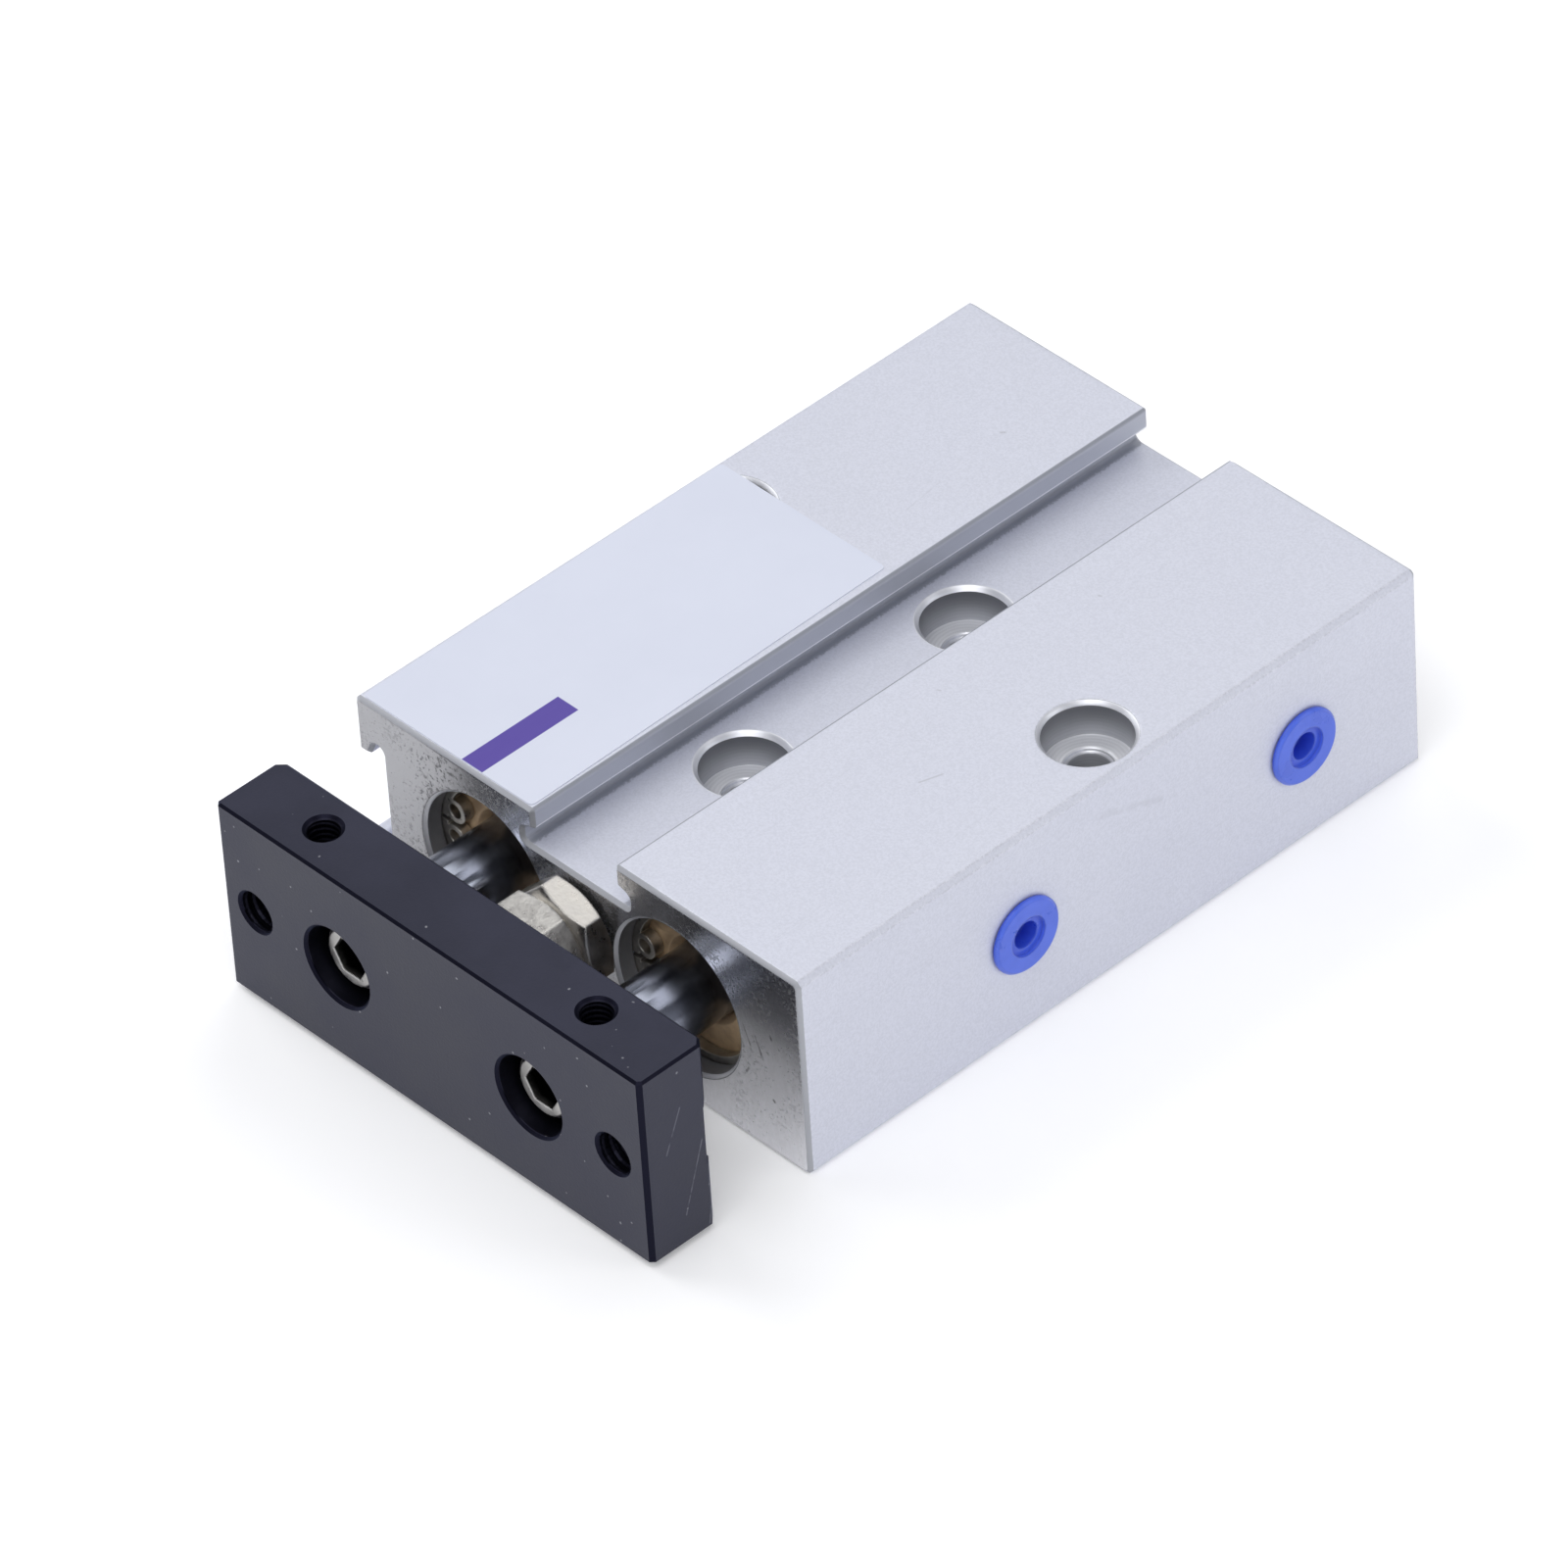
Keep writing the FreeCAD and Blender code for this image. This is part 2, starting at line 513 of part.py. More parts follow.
def make_plate():
    """The tool plate: bevelled block with screw counterbores, tapped holes and the key groove."""
    body = new_part("end_plate", "0", PLATE_FRONT, MID)
    wide, thick = "plate_width / 2", "plate_thickness"
    plan = sketch_on(body, "plate_plan", "XY_Plane", ("0", "0", "-plate_height / 2"))
    outline(plan, [(f"-{wide} + plate_corner", "0"), (f"{wide} - plate_corner", "0"), (wide, "plate_corner"),
                   (wide, f"{thick} - plate_back_corner"), (f"{wide} - plate_back_corner", thick),
                   (f"-{wide} + plate_back_corner", thick), (f"-{wide}", f"{thick} - plate_back_corner"),
                   (f"-{wide}", "plate_corner")])
    block = extruded(body, "Pad", plan, "plate_height")
    ends = faces_where(block, lambda face: abs(face.normalAt(0, 0).z) > 0.9)
    bevelled(body, block, ends, "plate_bevel")
    key = sketch_on(body, "plate_key", "XZ_Plane", ("0", "0", f"-{thick} + key_depth"))
    outline(key, [("-plate_width", "-key_height / 2"), ("plate_width", "-key_height / 2"),
                  ("plate_width", "key_height / 2"), ("-plate_width", "key_height / 2")])
    extruded(body, "Pocket", key, thick)
    for side, sign in SIDES.items():
        turned(body, f"{side}_counterbore", [
            ("0", "0"), ("plate_counterbore_radius + plate_counterbore_bevel", "0"),
            ("plate_counterbore_radius", "plate_counterbore_bevel"),
            ("plate_counterbore_radius", "plate_counterbore_depth"),
            ("screw_hole_radius", "plate_counterbore_depth"), ("screw_hole_radius", thick), ("0", thick),
        ], at=(f"{sign}rod_pitch / 2", "0", "0"), cut=True)
        turned(body, f"{side}_front_tap", [
            ("0", "0"), ("front_tap_radius + front_tap_bevel", "0"), ("front_tap_radius", "front_tap_bevel"),
            ("front_tap_radius", thick), ("0", thick),
        ], at=(f"{sign}front_tap_spacing / 2", "0", "0"), cut=True)
        turned(body, f"{side}_top_tap", [
            ("0", "0"), ("top_tap_radius + top_tap_bevel", "0"), ("top_tap_radius", "-top_tap_bevel"),
            ("top_tap_radius", "-top_tap_depth"), ("0", "-top_tap_depth - top_tap_radius / sqrt(3)"),
        ], axis="Z", at=(f"{sign}top_tap_spacing / 2", "top_tap_inset", "plate_height / 2"), cut=True)
    bolt = "stopper_radius + thread_clearance"
    turned(body, "stopper_tap", [
        ("0", f"{thick} - stopper_thread - end_gap"), (bolt, f"{thick} - stopper_thread - end_gap"),
        (bolt, thick), ("0", thick)], at=("0", "0", f"stopper_height - {MID}"), cut=True)


def make_plate_screw(side, sign):
    """A socket head cap screw, sunk in the plate and screwed into the rod."""
    body = new_part(f"{side}_plate_screw", f"{sign}rod_pitch / 2",
                    f"{PLATE_FRONT} + plate_counterbore_depth", MID)
    turned(body, f"{side}_screw", [
        ("0", "-screw_head"), ("screw_head_radius - screw_head_bevel", "-screw_head"),
        ("screw_head_radius", "-screw_head + screw_head_bevel"), ("screw_head_radius", "0"),
        ("screw_radius", "0"), ("screw_radius", "screw_length - rod_bevel"),
        ("screw_radius - rod_bevel", "screw_length"), ("0", "screw_length")])
    extruded(body, "Pocket", hexagon(body, f"{side}_socket", "screw_socket_flats", "-screw_head"),
             "screw_socket_depth")


def make_stopper():
    """The stroke stop: a hexagon bolt in the plate and the nut that locks it."""
    bolt = new_part("stopper_bolt", "0", f"{FRONT} - end_gap", "stopper_height", "stopper_turn")
    extruded(bolt, "Pad", hexagon(bolt, "stopper_hexagon", "stopper_flats", "0"), "stopper_head")
    crown(bolt, "stopper_crown", "stopper_flats", "0", "-")
    crown(bolt, "stopper_base", "stopper_flats", "-stopper_head", "+")
    tip = "end_gap - plate_gap - stopper_thread"
    turned(bolt, "stopper_shank", [
        ("0", "-stopper_head"), ("stopper_radius", "-stopper_head"), ("stopper_radius", f"{tip} + rod_bevel"),
        ("stopper_radius - rod_bevel", tip), ("0", tip)])
    nut = new_part("stopper_lock_nut", "0", PLATE_BACK, "stopper_height", "lock_nut_turn")
    extruded(nut, "Pad", hexagon(nut, "lock_nut_hexagon", "stopper_flats", "lock_nut_height"),
             "lock_nut_height")
    crown(nut, "lock_nut_crown", "stopper_flats", "lock_nut_height", "-")
    bore = "stopper_radius + thread_clearance"
    turned(nut, "lock_nut_bore", [
        ("0", "0"), (bore, "0"), (bore, "lock_nut_height - thread_bevel"),
        (f"{bore} + thread_bevel", "lock_nut_height"), ("0", "lock_nut_height")], cut=True)


def make_port_plug(end, place):
    """A push-in plastic plug with a mushroom flange and a stepped eye."""
    body = new_part(f"{end}_port_plug", "body_width / 2", f"{FRONT} + {place}", MID)
    stem = "port_radius - seal_clearance"
    turned(body, f"{end}_plug", [
        ("plug_recess_radius", "plug_flange"), ("plug_flange_radius - plug_bevel", "plug_flange"),
        ("plug_flange_radius", "plug_flange - plug_bevel"), ("plug_flange_radius", "plug_foot"),
        ("plug_foot_radius", "0"), (stem, "0"),
        (stem, "-plug_stem + plug_bevel"), (f"{stem} - plug_bevel", "-plug_stem"), ("0", "-plug_stem"),
        ("0", "plug_flange - plug_eye"), ("plug_eye_radius", "plug_flange - plug_eye"),
        ("plug_eye_radius", "plug_flange - plug_recess"), ("plug_recess_radius", "plug_flange - plug_recess"),
    ], axis="X")


make_barrel()
for side, sign in SIDES.items():
    make_circlip(side, sign, "front", "gland_radius", "clip_depth + seal_clearance")
    make_bush(side, sign)
    make_rear_cap(side, sign)
    make_circlip(side, sign, "rear", "rear_radius", f"{CAP_REAR} + seal_clearance")
    make_piston_rod(side, sign)
    make_piston(side, sign)
    make_plate_screw(side, sign)
make_plate()
make_stopper()
make_port_plug("front", f"{BUSH_REAR} + port_inset")
make_port_plug("rear", f"{CAP_FRONT} - rear_port_inset")
doc.recompute()

failed = [item.Label for item in doc.Objects if "Invalid" in item.State or "Error" in item.State]
failed += [item.Label for item in doc.Objects
           if item.isDerivedFrom("PartDesign::Feature") and (item.Shape.isNull() or not item.Shape.isValid())]
failed += [part.Label for part in parts if part.Shape.isNull() or not part.Shape.isValid()]
failed += [part.Label for part in parts if len(part.Shape.Solids) != 1]
if failed:
    raise RuntimeError(f"these did not build: {failed}")

os.makedirs("parts", exist_ok=True)
for part in parts:
    part.Shape.exportStep(os.path.join("parts", f"{part.Label}.step"))
print(f"{len(parts)} sub-parts written")
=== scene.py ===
import math
import bmesh
import bpy
from mathutils import Matrix, Vector


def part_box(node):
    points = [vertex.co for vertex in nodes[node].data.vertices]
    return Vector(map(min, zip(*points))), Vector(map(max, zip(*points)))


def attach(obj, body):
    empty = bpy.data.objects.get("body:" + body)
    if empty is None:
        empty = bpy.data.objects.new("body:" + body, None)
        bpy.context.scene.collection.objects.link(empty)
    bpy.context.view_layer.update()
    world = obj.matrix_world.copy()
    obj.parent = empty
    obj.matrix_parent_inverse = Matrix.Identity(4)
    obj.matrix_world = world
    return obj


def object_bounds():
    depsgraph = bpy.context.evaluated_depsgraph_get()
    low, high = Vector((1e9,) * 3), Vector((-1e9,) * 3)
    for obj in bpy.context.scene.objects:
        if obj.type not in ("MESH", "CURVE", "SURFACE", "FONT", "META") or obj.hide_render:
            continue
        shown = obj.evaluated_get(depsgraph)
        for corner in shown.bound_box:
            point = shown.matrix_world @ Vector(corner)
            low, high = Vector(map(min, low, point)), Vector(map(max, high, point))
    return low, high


# Twin rod air cylinder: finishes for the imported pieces, the plate's threads, a label, studio and camera.
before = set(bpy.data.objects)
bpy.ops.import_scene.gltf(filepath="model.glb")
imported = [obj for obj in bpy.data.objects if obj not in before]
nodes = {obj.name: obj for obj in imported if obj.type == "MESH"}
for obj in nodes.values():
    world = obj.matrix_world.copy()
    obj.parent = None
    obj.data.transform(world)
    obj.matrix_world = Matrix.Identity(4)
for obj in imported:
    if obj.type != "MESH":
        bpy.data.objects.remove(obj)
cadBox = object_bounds()
scene = bpy.context.scene
mm = 0.001
both = ("left", "right")
fromTop = (1, 1, 0)  # the directions that are seen from the top, and from the front
fromFront = (1, 0, 1)
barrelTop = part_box("barrel_body")[1].z
plateLow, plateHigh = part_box("end_plate")
print("frame loaded with", len(nodes), "nodes")


def inMetres(*points):
    return [Vector(point) * mm for point in points]


rodAxes = inMetres((-10, 0, 9), (10, 0, 9))


# shader helpers

def feed(tree, socket, value):
    # link another node's output, or set a plain value
    if isinstance(value, bpy.types.NodeSocket):
        tree.links.new(value, socket)
    else:
        socket.default_value = value


def place(tree, kind, inputs=None, **settings):
    node = tree.nodes.new(kind)
    for name, value in settings.items():
        setattr(node, name, value)
    for socket, value in (inputs or {}).items():
        feed(tree, node.inputs[socket], value)
    return node


def calc(tree, operation, *values):
    return place(tree, "ShaderNodeMath", dict(enumerate(values)), operation=operation).outputs[0]


def times(tree, product, *others):
    for value in others:
        product = calc(tree, "MULTIPLY", product, value)
    return product


def vectorCalc(tree, operation, *values):
    return place(tree, "ShaderNodeVectorMath", dict(enumerate(values)), operation=operation).outputs


def scaled(tree, vector, factor):
    return place(tree, "ShaderNodeVectorMath", {0: vector, "Scale": factor}, operation="SCALE").outputs[0]


def split(tree, vector):
    return place(tree, "ShaderNodeSeparateXYZ", {0: vector}).outputs


def noise(tree, spot, scale, detail, roughness=0.5):
    inputs = {"Vector": spot, "Scale": scale, "Detail": detail, "Roughness": roughness}
    return place(tree, "ShaderNodeTexNoise", inputs).outputs


def between(tree, value, low, high):
    # 0 at low, 1 at high, smooth in the middle
    stops = {"Value": value, "From Min": low, "From Max": high}
    return place(tree, "ShaderNodeMapRange", stops, interpolation_type="SMOOTHSTEP").outputs[0]


def blendColour(tree, factor, first, second):
    return place(tree, "ShaderNodeMix", {0: factor, 6: first, 7: second}, data_type="RGBA").outputs[2]


def blendValue(tree, factor, first, second):
    return place(tree, "ShaderNodeMix", {0: factor, 2: first, 3: second}, data_type="FLOAT").outputs[0]


def nearestAxis(tree, spot, seen, axes):
    # distance to the nearest of the axes, each seen end on
    flat = vectorCalc(tree, "MULTIPLY", spot, seen)[0]
    nearest = 1.0
    for axis in axes:
        flatAxis = [side * kept for side, kept in zip(axis, seen)]
        nearest = calc(tree, "MINIMUM", vectorCalc(tree, "DISTANCE", flat, flatAxis)["Value"], nearest)
    return nearest


def newGroup(name, inputs, outputs):
    group = bpy.data.node_groups.new(name, "ShaderNodeTree")
    for direction, sockets in (("INPUT", inputs), ("OUTPUT", outputs)):
        for title, kind, start in sockets:
            socket = group.interface.new_socket(title, in_out=direction, socket_type="NodeSocket" + kind)
            if start is not None:
                socket.default_value = start
    return group, group.nodes.new("NodeGroupInput").outputs, group.nodes.new("NodeGroupOutput").inputs


def useGroup(tree, group, **inputs):
    named = {name.replace("_", " "): value for name, value in inputs.items()}
    return place(tree, "ShaderNodeGroup", named, node_tree=group).outputs


def newMaterial(name):
    material = bpy.data.materials.new(name)
    material.use_nodes = True
    tree = material.node_tree
    shader = tree.nodes["Principled BSDF"]
    spot = place(tree, "ShaderNodeTexCoord").outputs
    return material, tree, shader, spot


def setShader(tree, shader, **sockets):
    for name, value in sockets.items():
        feed(tree, shader.inputs[name.replace("_", " ")], value)


def bump(tree, height, distance, normal=None):
    inputs = {"Height": height, "Distance": distance}
    if normal is not None:
        inputs["Normal"] = normal
    return place(tree, "ShaderNodeBump", inputs).outputs[0]


# lays a colour over where the mask is: wear and marks, and painted shade too
def layOver(tree, colour, mask, share, worn):
    return blendColour(tree, times(tree, mask, share), colour, worn)


def dress(material, *pieces):
    for piece in pieces:
        nodes[piece].data.materials.clear()
        nodes[piece].data.materials.append(material)


# shared surface effects, one node group each

def makeGrain():
    # fine blasted grit and cloudy shade, both about 0 to 1
    group, given, out = newGroup(
        "fineGrain",
        [("Spot", "Vector", None), ("Grit Scale", "Float", 4500.0), ("Cloud Scale", "Float", 180.0)],
        [("Grit", "Float", None), ("Cloud", "Float", None)])
    grit = noise(group, given["Spot"], given["Grit Scale"], 3.0, 0.65)["Fac"]
    cloud = noise(group, given["Spot"], given["Cloud Scale"], 4.0, 0.6)["Fac"]
    group.links.new(grit, out["Grit"])
    group.links.new(between(group, cloud, 0.3, 0.7), out["Cloud"])
    return group


def makeSpecks():
    # scattered roundish flecks: 1 inside a fleck, 0 outside; Share is the part of the cells that hold one
    bend = 0.4 * mm
    group, given, out = newGroup(
        "specks",
        [("Spot", "Vector", None), ("Scale", "Float", 1500.0), ("Share", "Float", 0.1),
         ("Size", "Float", 0.25)],
        [("Mask", "Float", None)])
    warp = noise(group, given["Spot"], given["Scale"], 2.0)["Color"]
    moved = vectorCalc(group, "ADD", given["Spot"], scaled(group, warp, bend))[0]
    cell = place(group, "ShaderNodeTexVoronoi", {"Vector": moved, "Scale": given["Scale"]}).outputs
    pick = place(group, "ShaderNodeSeparateColor", {"Color": cell["Color"]}).outputs
    chosen = calc(group, "LESS_THAN", pick["Red"], given["Share"])
    radius = times(group, given["Size"], calc(group, "ADD", 0.4, pick["Green"]))
    inside = between(group, calc(group, "SUBTRACT", radius, cell["Distance"]), 0.0, 0.08)
    group.links.new(times(group, chosen, inside), out["Mask"])
    return group


def makeScratches():
    # thin lines that follow the middle of a noise, shown in patches; stretch Spot to draw them out
    group, given, out = newGroup(
        "scratches",
        [("Spot", "Vector", None), ("Width", "Float", 0.02), ("Share", "Float", 0.5)],
        [("Mask", "Float", None)])
    wave = noise(group, given["Spot"], 1.0, 2.0)["Fac"]
    off = calc(group, "ABSOLUTE", calc(group, "SUBTRACT", wave, 0.5))
    line = between(group, calc(group, "SUBTRACT", given["Width"], off), 0.0, 0.01)
    patch = noise(group, given["Spot"], 0.37, 1.0)["Fac"]
    spare = calc(group, "ADD", patch, calc(group, "SUBTRACT", given["Share"], 1.0))
    group.links.new(times(group, line, between(group, spare, 0.0, 0.1)), out["Mask"])
    return group


def makeEdges():
    # corners of the solid: 1 on the corner fading to 0 at the given radius, and a normal that rounds it
    group, given, out = newGroup(
        "cornerWear",
        [("Radius", "Float", 0.3 * mm)],
        [("Mask", "Float", None), ("Normal", "Vector", None)])
    rounded = place(group, "ShaderNodeBevel", {"Radius": given["Radius"]}, samples=6).outputs[0]
    plain = place(group, "ShaderNodeNewGeometry").outputs["True Normal"]
    same = vectorCalc(group, "DOT_PRODUCT", rounded, plain)["Value"]
    group.links.new(between(group, calc(group, "SUBTRACT", 1.0, same), 0.01, 0.2), out["Mask"])
    group.links.new(rounded, out["Normal"])
    return group


def makeTurning():
    # tool rings: Along is the distance across the rings, from the axis or down the hole
    wander = 5.0
    group, given, out = newGroup(
        "turningMarks",
        [("Spot", "Vector", None), ("Along", "Float", 0.0), ("Pitch", "Float", 0.2 * mm)],
        [("Height", "Float", None)])
    rough = noise(group, given["Spot"], 700.0, 2.0)["Fac"]
    turns = calc(group, "DIVIDE", given["Along"], given["Pitch"])
    phase = calc(group, "MULTIPLY_ADD", turns, 2 * math.pi, times(group, rough, wander))
    group.links.new(calc(group, "MULTIPLY_ADD", calc(group, "SINE", phase), 0.5, 0.5), out["Height"])
    return group


def makePitting():
    # ragged dark pits that crowd together in patches
    crowding = 0.5
    group, given, out = newGroup(
        "pitting",
        [("Spot", "Vector", None), ("Scale", "Float", 1600.0), ("Cover", "Float", 0.35)],
        [("Mask", "Float", None)])
    rough = noise(group, given["Spot"], given["Scale"], 4.0, 0.7)["Fac"]
    patch = noise(group, given["Spot"], 230.0, 2.0)["Fac"]
    depth = calc(group, "MULTIPLY_ADD", calc(group, "SUBTRACT", patch, 0.5), crowding, rough)
    edge = calc(group, "SUBTRACT", 1.0, given["Cover"])
    group.links.new(between(group, calc(group, "SUBTRACT", depth, edge), -0.04, 0.05), out["Mask"])
    return group


def makeStroke():
    # one straight mark between two points, broken up along its length
    group, given, out = newGroup(
        "strokeMark",
        [("Spot", "Vector", None), ("Start", "Vector", None), ("Stop", "Vector", None),
         ("Width", "Float", 0.05 * mm)],
        [("Mask", "Float", None)])
    run = vectorCalc(group, "SUBTRACT", given["Stop"], given["Start"])[0]
    off = vectorCalc(group, "SUBTRACT", given["Spot"], given["Start"])[0]
    square = vectorCalc(group, "DOT_PRODUCT", run, run)["Value"]
    share = calc(group, "DIVIDE", vectorCalc(group, "DOT_PRODUCT", off, run)["Value"], square)
    held = place(group, "ShaderNodeClamp", {"Value": share}).outputs[0]
    away = vectorCalc(group, "DISTANCE", off, scaled(group, run, held))["Value"]
    rough = noise(group, given["Spot"], 1300.0, 2.0)["Fac"]
    line = between(group, calc(group, "DIVIDE", away, given["Width"]), 1.0, 0.3)
    group.links.new(times(group, line, between(group, rough, 0.3, 0.55)), out["Mask"])
    return group


fineGrain = makeGrain()
specks = makeSpecks()
scratches = makeScratches()
cornerWear = makeEdges()
turningMarks = makeTurning()
pitting = makePitting()
strokeMark = makeStroke()
print("surface effects made")


def drawMarks(tree, spot, colour, marks, tone):
    for start, stop, width, strength in marks:
        ends = {"Start": Vector(start) * mm, "Stop": Vector(stop) * mm}
        mask = useGroup(tree, strokeMark, Spot=spot, Width=width * mm, **ends)["Mask"]
        colour = layOver(tree, colour, mask, strength, tone)
    return colour


# barrel: bead-blasted extrusion with faced ends and turned holes
barrelFinish = {
    # blasted skin
    "blasted": (0.735, 0.75, 0.835, 1),
    "blastedDark": (0.67, 0.685, 0.765, 1),
    "gritScale": 5200.0,
    "gritSpread": (0.30, 0.68),
    "gritDepth": 0.011 * mm,
    "cloudScale": 110.0,
    "skinRough": (0.52, 0.60),
    "skinMetal": 0.5,
    "drawnLine": (0.54, 0.55, 0.61, 1),
    "lineStretch": (2200.0, 12.0, 2200.0),
    "lineWidth": 0.018,
    "lineCover": 0.5,
    "lineShare": 0.10,
    "chip": (0.16, 0.16, 0.17, 1),
    "chipScale": 230.0,
    "chipCover": 0.06,
    "chipSize": 0.035,
    "chipShare": 0.7,
    "chipDepth": 1.5,
    # start, stop and width of each rub in mm, and its strength
    "rubs": (
        ((23, -1.6, 15.1), (23, 4.6, 12.8), 0.45, 0.3),
        ((13.6, -9.9, 18), (14.2, -8.1, 18), 0.12, 0.7),
        ((8.3, 13.2, 18), (8.5, 13.3, 18), 0.12, 0.8),
        ((7.3, -2.0, 18), (7.5, -1.9, 18), 0.12, 0.7),
        ((-10.1, 21.4, 18), (-9.9, 21.6, 18), 0.15, 0.8),
        ((-8.8, 10.6, 18), (-9.3, 14.4, 18), 0.1, 0.25),
    ),
    # corners and bevels
    "worn": (0.92, 0.93, 0.98, 1),
    "sparkle": (0.45, 0.55),
    "cornerRadius": 0.35 * mm,
    "cornerShare": 0.9,
    "bevel": (0.44, 0.45, 0.48, 1),
    "bevelShare": 0.9,
    # top slot
    "channelHalf": 8 * mm,
    "slotHalf": 5.6 * mm,
    "slotFloor": 14.5 * mm,
    # painted shade on the slot's lip walls and their upward round, painted highlight along their lower edge
    "slotWallShade": (0.53, 0.55, 0.62, 1),
    "wallStart": 0.1 * mm,
    "lipRoundShade": (0.34, 0.355, 0.405, 1),
    "lipRadius": 0.1 * mm,
    "lipLow": 16.15 * mm,
    "lipHighlight": (0.28 * mm, 0.20 * mm),
    "lipUnder": 0.02 * mm,
    # painted shade in the slot's inner corners under the lips
    "slotCornerShade": (0.36, 0.375, 0.42, 1),
    "slotShadeFrom": (4.9 * mm, 5.25 * mm),
    "slotShadeRagged": 0.8 * mm,
    "slotShadeHigh": 0.6 * mm,
    "slotShadeShare": 0.9,
    # faced ends
    "faced": (0.71, 0.71, 0.745, 1),
    "facedDark": (0.66, 0.66, 0.69, 1),
    "facedStretch": (1.0, 1.0, 0.45),
    "facedScale": 2400.0,
    "facedSpread": (0.3, 0.7),
    "facedDepth": 0.4,
    "facedRough": (0.23, 0.42),
    "facedMetal": 0.97,
    # painted shade on the left of the faced ends
    "facedShade": (0.34, 0.34, 0.355, 1),
    "facedShadeFrom": (-6.0 * mm, -11.0 * mm),
    "facedShadeShare": 0.9,
    "pit": (0.10, 0.10, 0.105, 1),
    "pitScale": 2600.0,
    "pitCover": 0.42,
    "pitShare": 0.55,
    "pitDepth": 0.6,
    "pitsFrom": (-19.0 * mm, -15.5 * mm),
    "pitsFade": (-5.0 * mm, -8.5 * mm),
    "pitsLeast": 0.2,
    # start, stop and width of each nick in mm, and its strength
    "nicks": (
        ((18.1, -30.75, 10.3), (18.6, -30.75, 8.9), 0.14, 0.7),
        ((17.2, -30.75, 6.8), (16.9, -30.75, 6.3), 0.14, 0.6),
        ((19.7, -30.75, 11.3), (19.8, -30.75, 11.0), 0.14, 0.7),
        ((19.6, -30.75, 5.2), (19.7, -30.75, 5.1), 0.16, 0.8),
        ((16.5, -30.75, 0.6), (16.7, -30.75, 0.5), 0.15, 0.8),
        ((16.9, -30.75, 10.7), (17.5, -30.75, 9.2), 0.1, 0.5),
    ),
    # drilled holes and rod bores
    "holes": inMetres((0, -14.25, 0), (0, 7.75, 0), (18.5, 2.0, 0), (-18.5, 2.0, 0)),
    "holeReach": 3.8 * mm,
    "holeStep": 3.1 * mm,
    "drillReach": 1.8 * mm,
    "boreReach": 6.6 * mm,
    "flush": 0.03 * mm,
    "turned": (0.54, 0.55, 0.585, 1),
    # painted shade on the hole walls near their mouths, also the tool rings' colour; painted light on the
    # level shelves; painted shade on the rod-bore walls
    "turnedShadeAndRings": (0.20, 0.205, 0.225, 1),
    "wallShadeFade": (0.3 * mm, 3.2 * mm),
    "shelfLight": (0.84, 0.85, 0.89, 1),
    "bored": (0.22, 0.22, 0.235, 1),
    "chamferShare": 0.9,
    "ringPitch": 0.32 * mm,
    "ringShare": 0.12,
    "ringDepth": 0.3,
    "turnedRough": 0.42,
    "turnedMetal": (0.3, 0.8),
}
# the normal's share along an axis at which a face starts to count as each of these, and fully does
facing = {
    "end": (0.9, 0.97),
    "endBevel": (0.3, 0.45),
    "level": (0.8, 0.9),
    "slope": (0.35, 0.5),
    "upright": (0.12, 0.4),
    "lipTop": (0.1, 0.75),
}


